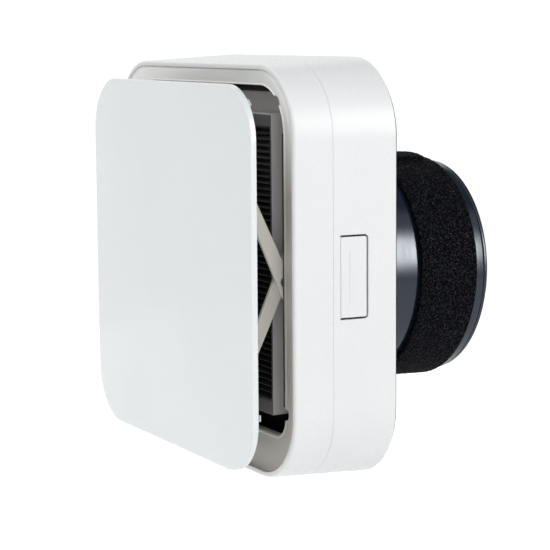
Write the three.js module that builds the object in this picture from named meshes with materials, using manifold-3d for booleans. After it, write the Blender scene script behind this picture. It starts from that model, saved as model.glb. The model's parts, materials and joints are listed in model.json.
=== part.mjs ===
// Through-wall heat recovery unit: a wall housing whose front panel stands off on two pairs of
// scissor arms, and a short insulated duct that holds the fan and the regenerative heat core.
//
// Frame, in millimetres: the origin is where the duct axis meets the wall. +Y runs into the wall,
// -Y is the room, +X is to the right seen from the room, +Z is up.

import * as THREE from 'three';
import { mergeVertices } from 'three/addons/utils/BufferGeometryUtils.js';
import Module from 'manifold-3d';

const wasm = await Module();
wasm.setup();

// ---------------------------------------------------------------- driving dimensions
const GAP = 0.3;                 // clearance between neighbouring pieces

const WALL_OFFSET = 71.9;        // front lip of the housing to the wall
const BODY_RISE = 11.3;          // housing centre above the duct axis
const BODY_HALF = 130;           // half width and half height at the front lip
const BODY_DEPTH = 70.1;         // front lip to the rear edge of the shells
const BODY_GROWTH = 3.67;        // growth of each side from front to rear
const CORNER_FRONT = 44.9;
const CORNER_BACK = 49.3;
const SHELL_WALL = 2.6;
const SEAM_DEPTH = 26.4;         // depth of the seam between the two shells
const SEAM_GAP = 0.4;

const LIP_WIDTH = 3.6;
const OPEN_HALF = 108;           // air opening in the bezel
const OPEN_TOP = 116.8;
const OPEN_BOTTOM = -101.5;
const OPEN_DEPTH = 5.2;
const BEZEL_TOP_CORNER = 30;
const BEZEL_LOW_CORNER = 11;
const BEZEL_WALL = 1.8;
const BEZEL_BACK = 9.6;

const PANEL_HALF_W = 119.1;
const PANEL_HALF_H = 120.6;
const PANEL_DROP = -2.3;         // panel centre below the housing centre
const PANEL_CORNER = 34.4;
const PANEL_REAR = -19.4;        // rear edge of the opened panel, ahead of the lip
const PANEL_FACE = -22.4;
const PANEL_DOME = 3.15;
const PANEL_WALL = 2.4;

const CASSETTE_HALF = 91.6;
const CASSETTE_TOP = 99.2;
const CASSETTE_LOW = -90.5;
const CASSETTE_FRONT = 5.5;
const CASSETTE_REAR = 16;
const MEDIA_HALF = 89;
const MEDIA_TOP = 91.2;
const MEDIA_LOW = -81.4;
const PLEATS = 44;

const ARM_CENTRE_DEPTH = 7.2;    // where the arms cross when the panel is open
const ARM_CENTRE_Z = -4;
const ARM_REACH = 22;            // crossing to pivot along the depth
const ARM_RISE = 48;             // crossing to pivot along the height
const ARM_END_RADIUS = 3.9;
const ARM_HALF_WIDTH = 4.75;     // at the crossing, where the arm is widest
const ARM_THICKNESS = 3;
const ARM_OUTER_X = 101;         // inner face of the outer arm
const ARM_INNER_X = 96.5;        // inner face of the inner arm
const ARM_BOSS = 2.2;
const PIVOT_HOLE = 2.6;
const SLOT_HALF = 2.75;
const SLOT_TRAVEL = 7.4;
const PIN_RADIUS = 2;
const PANEL_RAIL_X = [92.9, 95.3];
const BODY_RAIL_X = [105.2, 107.7];

const DUCT_FALL = THREE.MathUtils.degToRad(2);   // fall of the duct towards the outside
const DUCT_OUTER = 73.5;
const DUCT_INNER = 71;
const DUCT_END = 105.3;
const COLLAR_RADIUS = 74.1;
const COLLAR_START = 98.3;
const FOAM_OUTER = 77;
const FOAM_START = 54;
const FOAM_END = 98;
const FOAM_LAP = 3;              // height of the overlap of the foam strip
const END_RING_REAR = 108.3;
const FLANGE_RADIUS = 84;

const CORE_RADIUS = 60;
const CORE_START = 44;
const CORE_END = 91;
const CELL = 1.8;                // half width of a channel through the heat core
const CELL_PITCH = 18;
const CELL_LIMIT = CORE_RADIUS - 6;

const SCREW_RADIUS = 2;          // screws of the housing, at its back
const SCREW_OFFSET = 108;
const DUCT_SCREW = 1.75;         // screws of the duct's flange
const DUCT_SCREW_CIRCLE = 79;

const CORNER_STEPS = 7;
const ROUND_STEPS = 36;
const HOLE_STEPS = 8;

// ---------------------------------------------------------------- materials
const finish = (color, roughness, metalness = 0) => ({ color, roughness, metalness });
const WHITE = finish(0xeef0f2, 0.35);
const PANEL_WHITE = finish(0xe6eaec, 0.3);
const WARM_GREY = finish(0xb9b5b0, 0.5);
const CASING_GREY = finish(0x86827e, 0.6);
const FRAME_GREY = finish(0x8b8885, 0.55);
const MEDIA_BLACK = finish(0x17181a, 0.9);
const IVORY = finish(0xcfccc4, 0.45);
const STEEL = finish(0xb8bcc0, 0.35, 0.9);
const ZINC = finish(0xa9adb0, 0.45, 0.8);
const BLACK_GLOSS = finish(0x101218, 0.12);
const BLACK_PLASTIC = finish(0x17171a, 0.5);
const BLACK_FOAM = finish(0x111214, 0.98);
const CERAMIC = finish(0xd8cdb8, 0.85);
const BOARD_GREEN = finish(0x1f5a3a, 0.5);
const COPPER = finish(0x9a5a34, 0.45, 0.6);
const MAGNET = finish(0x34302e, 0.7, 0.3);

// ---------------------------------------------------------------- solids
function toSolid(geometry) {
  const bare = geometry.index ? geometry.toNonIndexed() : geometry.clone();
  bare.deleteAttribute('normal');
  bare.deleteAttribute('uv');
  const merged = mergeVertices(bare, 1e-4);
  return new wasm.Manifold(new wasm.Mesh({
    numProp: 3,
    vertProperties: new Float32Array(merged.attributes.position.array),
    triVerts: new Uint32Array(merged.index.array),
  }));
}

function toGeometry(solid) {
  const mesh = solid.getMesh();
  const geometry = new THREE.BufferGeometry();
  geometry.setAttribute('position', new THREE.BufferAttribute(new Float32Array(mesh.vertProperties), 3));
  geometry.setIndex(new THREE.BufferAttribute(new Uint32Array(mesh.triVerts), 1));
  return geometry;
}

function joined(first, ...others) {
  return toGeometry(others.reduce((solid, other) => solid.add(toSolid(other)), toSolid(first)));
}

function cut(first, ...tools) {
  return toGeometry(tools.reduce((solid, tool) => solid.subtract(toSolid(tool)), toSolid(first)));
}

function common(first, second) {
  return toGeometry(toSolid(first).intersect(toSolid(second)));
}

// A box given by its low and high ends along X, Y and Z.
function box([x0, x1], [y0, y1], [z0, z1]) {
  const geometry = new THREE.BoxGeometry(x1 - x0, y1 - y0, z1 - z0);
  return geometry.translate((x0 + x1) / 2, (y0 + y1) / 2, (z0 + z1) / 2);
}

// The same span on the right (side 1) or mirrored to the left (side -1).
function span(side, a, b) {
  return side > 0 ? [a, b] : [-b, -a];
}

function rodX(radius, [x0, x1], y, z, steps = 12) {
  const geometry = new THREE.CylinderGeometry(radius, radius, x1 - x0, steps);
  return geometry.rotateZ(Math.PI / 2).translate((x0 + x1) / 2, y, z);
}

function rodY(radius, [y0, y1], x = 0, z = 0, steps = 16) {
  const geometry = new THREE.CylinderGeometry(radius, radius, y1 - y0, steps);
  return geometry.translate(x, (y0 + y1) / 2, z);
}

// An outline in (x, z) extruded along Y.
function extrudeY(shape, [y0, y1], steps = 12) {
  const geometry = new THREE.ExtrudeGeometry(shape, {
    depth: y1 - y0, bevelEnabled: false, curveSegments: steps,
  });
  return geometry.rotateX(Math.PI / 2).translate(0, y1, 0);
}

// An outline in (y, z) extruded along X.
function extrudeX(shape, [x0, x1], steps = 8) {
  const geometry = new THREE.ExtrudeGeometry(shape, {
    depth: x1 - x0, bevelEnabled: false, curveSegments: steps,
  });
  const turn = new THREE.Matrix4().makeBasis(
    new THREE.Vector3(0, 1, 0), new THREE.Vector3(0, 0, 1), new THREE.Vector3(1, 0, 0));
  return geometry.applyMatrix4(turn).translate(x0, 0, 0);
}

// A solid of revolution about Y; the profile of [radius, y] closes on itself or lies on the axis.
function turned(profile, steps = ROUND_STEPS) {
  const points = profile.map(([radius, y]) => new THREE.Vector2(radius, y));
  if (profile[0][0] > 0) points.push(points[0].clone());
  return new THREE.LatheGeometry(points, steps);
}

function ring(outer, inner, y0, y1, steps = ROUND_STEPS) {
  return turned([[inner, y0], [outer, y0], [outer, y1], [inner, y1]], steps);
}

function rectangle([x0, x1], [z0, z1]) {
  const shape = new THREE.Shape();
  shape.moveTo(x0, z0).lineTo(x1, z0).lineTo(x1, z1).lineTo(x0, z1);
  shape.closePath();
  return shape;
}

// Points round a rectangle with rounded corners, anticlockwise in (x, z), at depth y.
function roundedLoop({ half, top, bottom, topCorner, lowCorner, y }) {
  const corners = [
    [half, top, topCorner, -1, -1, 0],
    [-half, top, topCorner, 1, -1, 90],
    [-half, bottom, lowCorner, 1, 1, 180],
    [half, bottom, lowCorner, -1, 1, 270],
  ];
  return corners.flatMap(([x, z, radius, inX, inZ, start]) =>
    Array.from({ length: CORNER_STEPS + 1 }, (_, i) => {
      const angle = THREE.MathUtils.degToRad(start + (90 * i) / CORNER_STEPS);
      return new THREE.Vector3(
        x + inX * radius + radius * Math.cos(angle), y, z + inZ * radius + radius * Math.sin(angle));
    }));
}

function meshOf(positions, index) {
  const geometry = new THREE.BufferGeometry();
  geometry.setAttribute('position', new THREE.Float32BufferAttribute(positions, 3));
  geometry.setIndex(index);
  return geometry;
}

function band(a, b, count) {
  return Array.from({ length: count }, (_, i) => {
    const j = (i + 1) % count;
    return [a + i, b + i, a + j, a + j, b + i, b + j];
  }).flat();
}

// A ring-shaped solid: loops round the outside from rear to front, then inside to the rear again.
function hoop(loops) {
  const count = loops[0].length;
  const positions = loops.flat().flatMap((p) => [p.x, p.y, p.z]);
  const index = loops.flatMap((_, k) => band(((k + 1) % loops.length) * count, k * count, count));
  return meshOf(positions, index);
}

// A solid skinned over loops from front to rear, closed on a centre point at each end.
function loft(loops, centres) {
  const count = loops[0].length;
  const positions = [...loops.flat(), ...centres].flatMap((p) => [p.x, p.y, p.z]);
  const index = loops.slice(1).flatMap((_, k) => band(k * count, (k + 1) * count, count));
  const last = (loops.length - 1) * count;
  const tip = loops.length * count;
  for (let i = 0; i < count; i += 1) {
    const j = (i + 1) % count;
    index.push(tip, i, j, tip + 1, last + j, last + i);
  }
  return meshOf(positions, index);
}

// ---------------------------------------------------------------- scene graph
const unit = new THREE.Group();

const housing = new THREE.Group();          // depths below are measured from the front lip
housing.position.set(0, -WALL_OFFSET, BODY_RISE);
unit.add(housing);

const duct = new THREE.Group();             // the duct and what it holds, falling outwards
duct.rotation.x = -DUCT_FALL;
unit.add(duct);

function place(parent, name, geometry, look) {
  const mesh = new THREE.Mesh(geometry, new THREE.MeshStandardMaterial(look));
  mesh.name = name;
  parent.add(mesh);
}

// ---------------------------------------------------------------- housing shells
// The housing outline at a depth, moved in by an inset.
function bodyLoop(depth, inset) {
  const along = depth / BODY_DEPTH;
  const half = BODY_HALF + BODY_GROWTH * along - inset;
  const corner = THREE.MathUtils.lerp(CORNER_FRONT, CORNER_BACK, along) - inset;
  return roundedLoop({ half, top: half, bottom: -half, topCorner: corner, lowCorner: corner, y: depth });
}

function shell(profile) {
  return hoop(profile.map(([depth, inset]) => bodyLoop(depth, inset)));
}

const LIP_BACK = 3;
const frontCover = shell([
  [SEAM_DEPTH, 0], [2.4, 0], [0.7, 0.7], [0, 2.4], [0.8, LIP_WIDTH],
  [LIP_BACK, LIP_WIDTH], [LIP_BACK, SHELL_WALL], [SEAM_DEPTH, SHELL_WALL],
]);
place(housing, 'front_cover', frontCover, WHITE);

const FLANGE_WIDTH = 16;
const FLANGE_REAR = 68.3;
const FLANGE_FRONT = 65.9;
const rearShell = shell([
  [BODY_DEPTH, 0], [SEAM_DEPTH + SEAM_GAP, 0], [SEAM_DEPTH + SEAM_GAP, SHELL_WALL],
  [FLANGE_FRONT, SHELL_WALL], [FLANGE_FRONT, FLANGE_WIDTH], [FLANGE_REAR, FLANGE_WIDTH],
  [FLANGE_REAR, SHELL_WALL], [BODY_DEPTH, SHELL_WALL],
]);

// Release tabs cut out of the two sides of the rear shell.
const TAB_FRONT = 31.6;
const TAB_REAR = 49.4;
const TAB_HALF = 25;
const TAB_SLOT = 1.2;
const SIDE_REACH = [120, 140];
const NIB_DEPTH = [44, 48];       // nib behind the tab that pushes the cover's snap
const NIB_X = [126.5, 130.5];
const NIB_HALF = 6;

function tabWindow(side) {
  return box(span(side, ...SIDE_REACH), [TAB_FRONT - GAP, TAB_REAR + TAB_SLOT],
    [-TAB_HALF - TAB_SLOT, TAB_HALF + TAB_SLOT]);
}

function sideLatch(side) {
  const blank = box(span(side, ...SIDE_REACH), [TAB_FRONT, TAB_REAR], [-TAB_HALF, TAB_HALF]);
  const nib = box(span(side, ...NIB_X), NIB_DEPTH, [-NIB_HALF, NIB_HALF]);
  return joined(common(rearShell, blank), nib);
}

const screwSpots = [[1, 1], [-1, 1], [-1, -1], [1, -1]].map(([x, z]) => [x * SCREW_OFFSET, z * SCREW_OFFSET]);
const PLATE_FRONT = 68.6;
const THROUGH_PLATE = [60, 75];
const screwHoles = screwSpots.map(([x, z]) => rodY(SCREW_RADIUS + GAP, THROUGH_PLATE, x, z, HOLE_STEPS));

place(housing, 'rear_shell', cut(rearShell, tabWindow(1), tabWindow(-1), ...screwHoles), WHITE);
place(housing, 'side_latch_right', sideLatch(1), WHITE);
place(housing, 'side_latch_left', sideLatch(-1), WHITE);

// Screw with a pan head towards the room.
function screw(radius, headRadius, headSpan, shankEnd, x, z) {
  const head = rodY(headRadius, headSpan, x, z, 10);
  const shank = rodY(radius, [headSpan[1] - 0.5, shankEnd], x, z, HOLE_STEPS);
  return joined(head, shank);
}

screwSpots.forEach(([x, z], i) => {
  place(housing, `back_screw_${i + 1}`, screw(SCREW_RADIUS, 4, [63.6, 65.6], 70, x, z), STEEL);
});

// ---------------------------------------------------------------- bezel ring
function openLoop(grow, y) {
  return roundedLoop({
    half: OPEN_HALF + grow, top: OPEN_TOP + grow, bottom: OPEN_BOTTOM - grow,
    topCorner: BEZEL_TOP_CORNER + grow, lowCorner: BEZEL_LOW_CORNER + grow, y,
  });
}

function bezelOuter(y) {
  const half = BODY_HALF - LIP_WIDTH - GAP;
  const corner = CORNER_FRONT - LIP_WIDTH - GAP;
  return roundedLoop({ half, top: half, bottom: -half, topCorner: corner, lowCorner: corner, y });
}

// The dished face: flat near the opening, rising steeply to the lip.
const BEZEL_RIM = 0.9;
function dishLoop(t) {
  const depth = BEZEL_RIM + (OPEN_DEPTH - BEZEL_RIM) * Math.sqrt(1 - t ** 3);
  const outer = bezelOuter(depth);
  return openLoop(0, depth).map((p, i) => p.lerp(outer[i], t));
}

const BEZEL_UNDER = 7.8;
const bezelBlank = hoop([
  ...[1, 0.96, 0.86, 0.6, 0].map(dishLoop),
  openLoop(0, BEZEL_BACK), openLoop(BEZEL_WALL, BEZEL_BACK),
  openLoop(BEZEL_WALL, BEZEL_UNDER), bezelOuter(BEZEL_UNDER),
]);

// Rounded notches in the opening's edge that let the panel's clips through: those in the upper
// corners face along the diagonal, the lower ones sideways.
const NOTCHES = [
  { x: 98.6, z: 106.1, radius: 5, facing: Math.PI / 4 },
  { x: 108.6, z: -86.8, radius: 3.8, facing: 0 },
];
const SIDES = [1, -1];
const notches = SIDES.flatMap((side) =>
  NOTCHES.map(({ x, z, radius }) => rodY(radius, [-2, 12], side * x, z)));
place(housing, 'bezel_ring', cut(bezelBlank, ...notches), WARM_GREY);

// ---------------------------------------------------------------- front panel
function panelFace(x, z) {
  const spread = (x / PANEL_HALF_W) ** 2 + (z / PANEL_HALF_H) ** 2;
  return PANEL_FACE - PANEL_DOME * (2 - spread);
}

// The panel outline moved in by an inset and then scaled, at a fixed depth or behind its face.
function panelLoop(inset, scale, depth, behind = 0) {
  const loop = roundedLoop({
    half: PANEL_HALF_W - inset, top: PANEL_HALF_H - inset, bottom: inset - PANEL_HALF_H,
    topCorner: PANEL_CORNER - inset, lowCorner: PANEL_CORNER - inset, y: 0,
  });
  return loop.map((p) => {
    const x = p.x * scale;
    const z = p.z * scale;
    const y = depth === null ? panelFace(x, z) + behind : depth;
    return new THREE.Vector3(x, y, z + PANEL_DROP);
  });
}

function panelCentre(behind) {
  return new THREE.Vector3(0, panelFace(0, 0) + behind, PANEL_DROP);
}

const frontPanel = loft([
  panelLoop(2, 0.3, null), panelLoop(2, 0.6, null), panelLoop(2, 0.85, null),
  panelLoop(2, 1, null), panelLoop(0.8, 1, null, 0.5), panelLoop(0.1, 1, null, 1.6),
  panelLoop(0, 1, PANEL_REAR),
  panelLoop(2.6, 1, PANEL_REAR), panelLoop(2.6, 1, null, PANEL_WALL),
  panelLoop(2.6, 0.7, null, PANEL_WALL), panelLoop(2.6, 0.35, null, PANEL_WALL),
], [panelCentre(0), panelCentre(PANEL_WALL)]);
place(housing, 'front_panel', frontPanel, PANEL_WHITE);

// Liner that closes the back of the panel, with the four clips moulded on it.
const LINER_THICKNESS = 1.4;
const CLIP_TIP = PANEL_REAR + 6.2;
const CLIP_STEM = [-0.2, 1.4];
const CLIP_HOOK = [-0.2, 2.6];
const CLIP_WIDE = [-2, 2];
function linerClip(side, { x, z, facing }) {
  const stem = box(CLIP_STEM, [PANEL_REAR - 0.8, CLIP_TIP], CLIP_WIDE);
  const hook = box(CLIP_HOOK, [CLIP_TIP - 1.6, CLIP_TIP], CLIP_WIDE);
  const turn = side > 0 ? -facing : facing - Math.PI;
  return [stem, hook].map((piece) => piece.rotateY(turn).translate(side * x, 0, z));
}
const linerBlank = loft(
  [panelLoop(3, 1, PANEL_REAR - LINER_THICKNESS), panelLoop(3, 1, PANEL_REAR)],
  [new THREE.Vector3(0, PANEL_REAR - LINER_THICKNESS, 0), new THREE.Vector3(0, PANEL_REAR, 0)]);
place(housing, 'panel_liner',
  joined(linerBlank, ...SIDES.flatMap((side) => NOTCHES.flatMap((notch) => linerClip(side, notch)))),
  PANEL_WHITE);

// ---------------------------------------------------------------- scissor arms and their rails
const FRONT_PIVOT = ARM_CENTRE_DEPTH - ARM_REACH;
const REAR_PIVOT = ARM_CENTRE_DEPTH + ARM_REACH;
const LOW_PIVOT = ARM_CENTRE_Z - ARM_RISE;
const HIGH_PIVOT = ARM_CENTRE_Z + ARM_RISE;

// Bar with round ends in the (y, z) plane, from one pivot to the other, and its half width midway.
function barShape([y0, z0], [y1, z1], radius, middle = radius) {
  const heading = Math.atan2(z1 - z0, y1 - y0);
  const [y, z] = [(y0 + y1) / 2, (z0 + z1) / 2];
  const [acrossY, acrossZ] = [-Math.sin(heading) * middle, Math.cos(heading) * middle];
  const shape = new THREE.Shape();
  shape.absarc(y1, z1, radius, heading - Math.PI / 2, heading + Math.PI / 2, false);
  shape.lineTo(y + acrossY, z + acrossZ);
  shape.absarc(y0, z0, radius, heading + Math.PI / 2, heading + 1.5 * Math.PI, false);
  shape.lineTo(y - acrossY, z - acrossZ);
  shape.closePath();
  return shape;
}

function armBar(pivot, slider, x) {
  return extrudeX(barShape(pivot, slider, ARM_END_RADIUS, ARM_HALF_WIDTH), x);
}

// The outer arm turns on the housing rail at its low rear end and slides in the panel rail.
function outerArm(side) {
  const x = span(side, ARM_OUTER_X, ARM_OUTER_X + ARM_THICKNESS);
  const bar = armBar([REAR_PIVOT, LOW_PIVOT], [FRONT_PIVOT, HIGH_PIVOT], x);
  const pivot = rodX(ARM_BOSS, span(side, ARM_OUTER_X + 1, BODY_RAIL_X[1] + GAP), REAR_PIVOT, LOW_PIVOT);
  const slider = rodX(ARM_BOSS, span(side, PANEL_RAIL_X[0] - GAP, ARM_OUTER_X + 1), FRONT_PIVOT, HIGH_PIVOT);
  const hole = rodX(PIN_RADIUS + 0.4, x.map((v, i) => v + (i ? 1 : -1)), ARM_CENTRE_DEPTH, ARM_CENTRE_Z);
  return cut(joined(bar, pivot, slider), hole);
}

// The inner arm turns on the panel rail at its low front end and slides in the housing rail.
function innerArm(side) {
  const x = span(side, ARM_INNER_X, ARM_INNER_X + ARM_THICKNESS);
  const bar = armBar([FRONT_PIVOT, LOW_PIVOT], [REAR_PIVOT, HIGH_PIVOT], x);
  const pivot = rodX(ARM_BOSS, span(side, PANEL_RAIL_X[0] - GAP, ARM_INNER_X + 1), FRONT_PIVOT, LOW_PIVOT);
  const slider = rodX(ARM_BOSS, span(side, ARM_INNER_X + 1, BODY_RAIL_X[1] + GAP), REAR_PIVOT, HIGH_PIVOT);
  const hole = rodX(PIN_RADIUS + 0.4, x.map((v, i) => v + (i ? 1 : -1)), ARM_CENTRE_DEPTH, ARM_CENTRE_Z);
  return cut(joined(bar, pivot, slider), hole);
}

const PIN_HEAD_X = [104.3, 105];
const PIN_KEEPER_X = [95, 96.2];
function centrePin(side) {
  const shaft = rodX(PIN_RADIUS, span(side, PIN_KEEPER_X[1] - 0.5, PIN_HEAD_X[0] + 0.5),
    ARM_CENTRE_DEPTH, ARM_CENTRE_Z);
  const head = rodX(PIN_RADIUS + 1.4, span(side, ...PIN_HEAD_X), ARM_CENTRE_DEPTH, ARM_CENTRE_Z);
  const keeper = rodX(PIN_RADIUS + 1, span(side, ...PIN_KEEPER_X), ARM_CENTRE_DEPTH, ARM_CENTRE_Z);
  return joined(shaft, head, keeper);
}

// Room for a pivot boss, and the upright slot for a sliding boss, through a rail's web.
function railCutters(side, [x0, x1], depth) {
  const through = span(side, x0 - 1, x1 + 1);
  const slot = barShape([depth, HIGH_PIVOT - 0.3], [depth, HIGH_PIVOT + SLOT_TRAVEL + 0.3], SLOT_HALF);
  return [rodX(PIVOT_HOLE, through, depth, LOW_PIVOT), extrudeX(slot, through)];
}

const RAIL_LOW = LOW_PIVOT - 8;
const RAIL_HIGH = HIGH_PIVOT + SLOT_TRAVEL + 8;
const RAIL_FOOT = 6;
const PANEL_FOOT_X = 84;
const PANEL_WEB = [PANEL_REAR + GAP, FRONT_PIVOT + 4.6];

function panelRail(side) {
  const web = box(span(side, ...PANEL_RAIL_X), PANEL_WEB, [RAIL_LOW, RAIL_HIGH]);
  const foot = box(span(side, PANEL_FOOT_X, PANEL_RAIL_X[1]), [PANEL_WEB[0], PANEL_WEB[0] + 1.5],
    [RAIL_LOW, RAIL_HIGH]);
  return cut(joined(web, foot), ...railCutters(side, PANEL_RAIL_X, FRONT_PIVOT));
}

// The housing rail: a web with two feet on the casing, and a long strip that lines the opening.
const CASING_HALF = 90.8;
const BODY_RAIL_DEPTH = [REAR_PIVOT - 5.5, REAR_PIVOT + 6];
const STRIP_DEPTH = [OPEN_DEPTH + 0.2, OPEN_DEPTH + 6];
const STRIP_SPAN = [-82.5, 88];
function bodyRail(side) {
  const webX = span(side, ...BODY_RAIL_X);
  const web = box(webX, [STRIP_DEPTH[1] - 0.5, BODY_RAIL_DEPTH[1]], [RAIL_LOW, RAIL_HIGH]);
  const strip = box(webX, STRIP_DEPTH, STRIP_SPAN);
  const footX = span(side, CASING_HALF + GAP, BODY_RAIL_X[1]);
  const low = box(footX, BODY_RAIL_DEPTH, [RAIL_LOW - RAIL_FOOT, RAIL_LOW + 0.5]);
  const high = box(footX, BODY_RAIL_DEPTH, [RAIL_HIGH - 0.5, RAIL_HIGH + RAIL_FOOT]);
  return cut(joined(web, strip, low, high), ...railCutters(side, BODY_RAIL_X, REAR_PIVOT));
}

for (const [side, hand] of [[1, 'right'], [-1, 'left']]) {
  place(housing, `arm_outer_${hand}`, outerArm(side), IVORY);
  place(housing, `arm_inner_${hand}`, innerArm(side), IVORY);
  place(housing, `centre_pin_${hand}`, centrePin(side), STEEL);
  place(housing, `panel_rail_${hand}`, panelRail(side), IVORY);
  place(housing, `body_rail_${hand}`, bodyRail(side), BLACK_PLASTIC);
}

// ---------------------------------------------------------------- filter cassette and casing
const cassetteShape = rectangle([-CASSETTE_HALF, CASSETTE_HALF], [CASSETTE_LOW, CASSETTE_TOP]);
cassetteShape.holes.push(rectangle([-MEDIA_HALF, MEDIA_HALF], [MEDIA_LOW, MEDIA_TOP]));
place(housing, 'filter_frame', extrudeY(cassetteShape, [CASSETTE_FRONT, CASSETTE_REAR]), FRAME_GREY);

// Pleated sheet: a zigzag of constant thickness in (y, z).
const PLEAT_FRONT = 7.2;
const PLEAT_DEPTH = 6.4;
const SHEET = 1.2;
function pleatedSheet() {
  const low = MEDIA_LOW + GAP;
  const pitch = (MEDIA_TOP - MEDIA_LOW - 2 * GAP) / PLEATS;
  const fold = (i) => [PLEAT_FRONT + (i % 2 ? PLEAT_DEPTH : 0), low + (pitch / 2) * i];
  const shape = new THREE.Shape();
  const folds = Array.from({ length: 2 * PLEATS + 1 }, (_, i) => fold(i));
  folds.forEach(([y, z], i) => (i ? shape.lineTo(y, z) : shape.moveTo(y, z)));
  folds.reverse().forEach(([y, z]) => shape.lineTo(y + SHEET, z));
  shape.closePath();
  return extrudeX(shape, [-MEDIA_HALF + GAP, MEDIA_HALF - GAP]);
}
place(housing, 'pleated_filter', pleatedSheet(), MEDIA_BLACK);

const CASING_TOP = 112;
const CASING_LOW = -88;
const CASING_FRONT = 22;
const CASING_REAR = 65.4;
const CASING_WALL = 2.4;
const PORT_HALF = 82;
const PORT_TOP = 88;
const PORT_LOW = -78;
const COLLAR_FRONT = 17.6;
function innerCasing() {
  const outer = box([-CASING_HALF, CASING_HALF], [CASING_FRONT, CASING_REAR], [CASING_LOW, CASING_TOP]);
  const collar = box([-PORT_HALF - CASING_WALL, PORT_HALF + CASING_WALL], [COLLAR_FRONT, CASING_FRONT + 1],
    [PORT_LOW - CASING_WALL, PORT_TOP + CASING_WALL]);
  const hollow = box([-CASING_HALF + CASING_WALL, CASING_HALF - CASING_WALL],
    [CASING_FRONT + CASING_WALL, CASING_REAR + 1], [CASING_LOW + CASING_WALL, CASING_TOP - CASING_WALL]);
  const port = box([-PORT_HALF, PORT_HALF], [COLLAR_FRONT - 1, CASING_FRONT + 4], [PORT_LOW, PORT_TOP]);
  return cut(joined(outer, collar), hollow, port);
}
place(housing, 'inner_casing', innerCasing(), CASING_GREY);

const sealShape = rectangle([-PORT_HALF - CASING_WALL, PORT_HALF + CASING_WALL],
  [PORT_LOW - CASING_WALL, PORT_TOP + CASING_WALL]);
sealShape.holes.push(rectangle([-PORT_HALF, PORT_HALF], [PORT_LOW, PORT_TOP]));
place(housing, 'filter_seal', extrudeY(sealShape, [CASSETTE_REAR + GAP, COLLAR_FRONT - GAP]), BLACK_FOAM);

// ---------------------------------------------------------------- control compartment
const BOX_HALF = 72;
const BOX_LOW = -125;
const BOX_TOP = -92;
const BOX_FRONT = 27;
const BOX_REAR = 62;
const BOX_WALL = 2;
const BOARD_DEPTH = [54, 55.6];
const BOARD_HALF = 67;
const POST_RADIUS = 3;
function controlBox() {
  const outer = box([-BOX_HALF, BOX_HALF], [BOX_FRONT, BOX_REAR], [BOX_LOW, BOX_TOP]);
  const inner = box([-BOX_HALF + BOX_WALL, BOX_HALF - BOX_WALL], [BOX_FRONT - 1, BOX_REAR - BOX_WALL],
    [BOX_LOW + BOX_WALL, BOX_TOP - BOX_WALL]);
  const posts = [-55, 55].flatMap((x) => [-117, -100].map((z) =>
    rodY(POST_RADIUS, [BOARD_DEPTH[1] + GAP, BOX_REAR - 1], x, z, HOLE_STEPS)));
  return joined(cut(outer, inner), ...posts);
}
place(housing, 'control_box', controlBox(), BLACK_PLASTIC);
place(housing, 'control_lid',
  box([-BOX_HALF, BOX_HALF], [BOX_FRONT - 2, BOX_FRONT - GAP], [BOX_LOW, BOX_TOP]), BLACK_PLASTIC);
place(housing, 'control_board',
  box([-BOARD_HALF, BOARD_HALF], BOARD_DEPTH, [BOX_LOW + 3, BOX_TOP - 3]), BOARD_GREEN);
place(housing, 'transformer', box([-48, -18], [36, BOARD_DEPTH[0] - GAP], [-120, -98]), COPPER);
place(housing, 'terminal_block', box([18, 54], [43, BOARD_DEPTH[0] - GAP], [-117, -103]), IVORY);

// ---------------------------------------------------------------- back plate and wall gasket
const ductScrewSpots = [45, 135, 225, 315].map((degrees) => {
  const angle = THREE.MathUtils.degToRad(degrees);
  return [DUCT_SCREW_CIRCLE * Math.cos(angle), DUCT_SCREW_CIRCLE * Math.sin(angle)];
});
const PLATE_INSET = SHELL_WALL + GAP + 0.1;
const CABLE_SPOT = [60, -106];
const GLAND_RADIUS = 7;
const GLAND_BORE = 4;
const GLAND_DEPTH = [62.5, 71.4];
function backPlate() {
  const outline = [bodyLoop(PLATE_FRONT, PLATE_INSET), bodyLoop(BODY_DEPTH, PLATE_INSET)];
  const blank = loft(outline,
    [new THREE.Vector3(0, PLATE_FRONT, 0), new THREE.Vector3(0, BODY_DEPTH, 0)]);
  const ductHole = rodY(DUCT_OUTER + 1.5, THROUGH_PLATE, 0, -BODY_RISE, ROUND_STEPS);
  const cableHole = rodY(GLAND_RADIUS + GAP, THROUGH_PLATE, ...CABLE_SPOT);
  const ductHoles = ductScrewSpots.map(([x, z]) =>
    rodY(DUCT_SCREW + GAP, THROUGH_PLATE, x, z - BODY_RISE, HOLE_STEPS));
  return cut(blank, ductHole, cableHole, ...screwHoles, ...ductHoles);
}

place(housing, 'back_plate', backPlate(), ZINC);

const gland = ring(GLAND_RADIUS, GLAND_BORE, ...GLAND_DEPTH, 16);
place(housing, 'cable_gland', gland.translate(CABLE_SPOT[0], 0, CABLE_SPOT[1]), BLACK_PLASTIC);

const GASKET_INSET = 2.4;
const GASKET_INNER = 14;
const wallGasket = shell([
  [WALL_OFFSET, GASKET_INSET], [BODY_DEPTH + GAP, GASKET_INSET],
  [BODY_DEPTH + GAP, GASKET_INNER], [WALL_OFFSET, GASKET_INNER],
]);
place(housing, 'wall_gasket', wallGasket, BLACK_FOAM);

// ---------------------------------------------------------------- duct
const FLANGE_Y = [-5.9, -3.6];
const SPIGOT_START = -14;
function fallen(geometry) {
  return geometry.rotateX(-DUCT_FALL);
}

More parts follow.
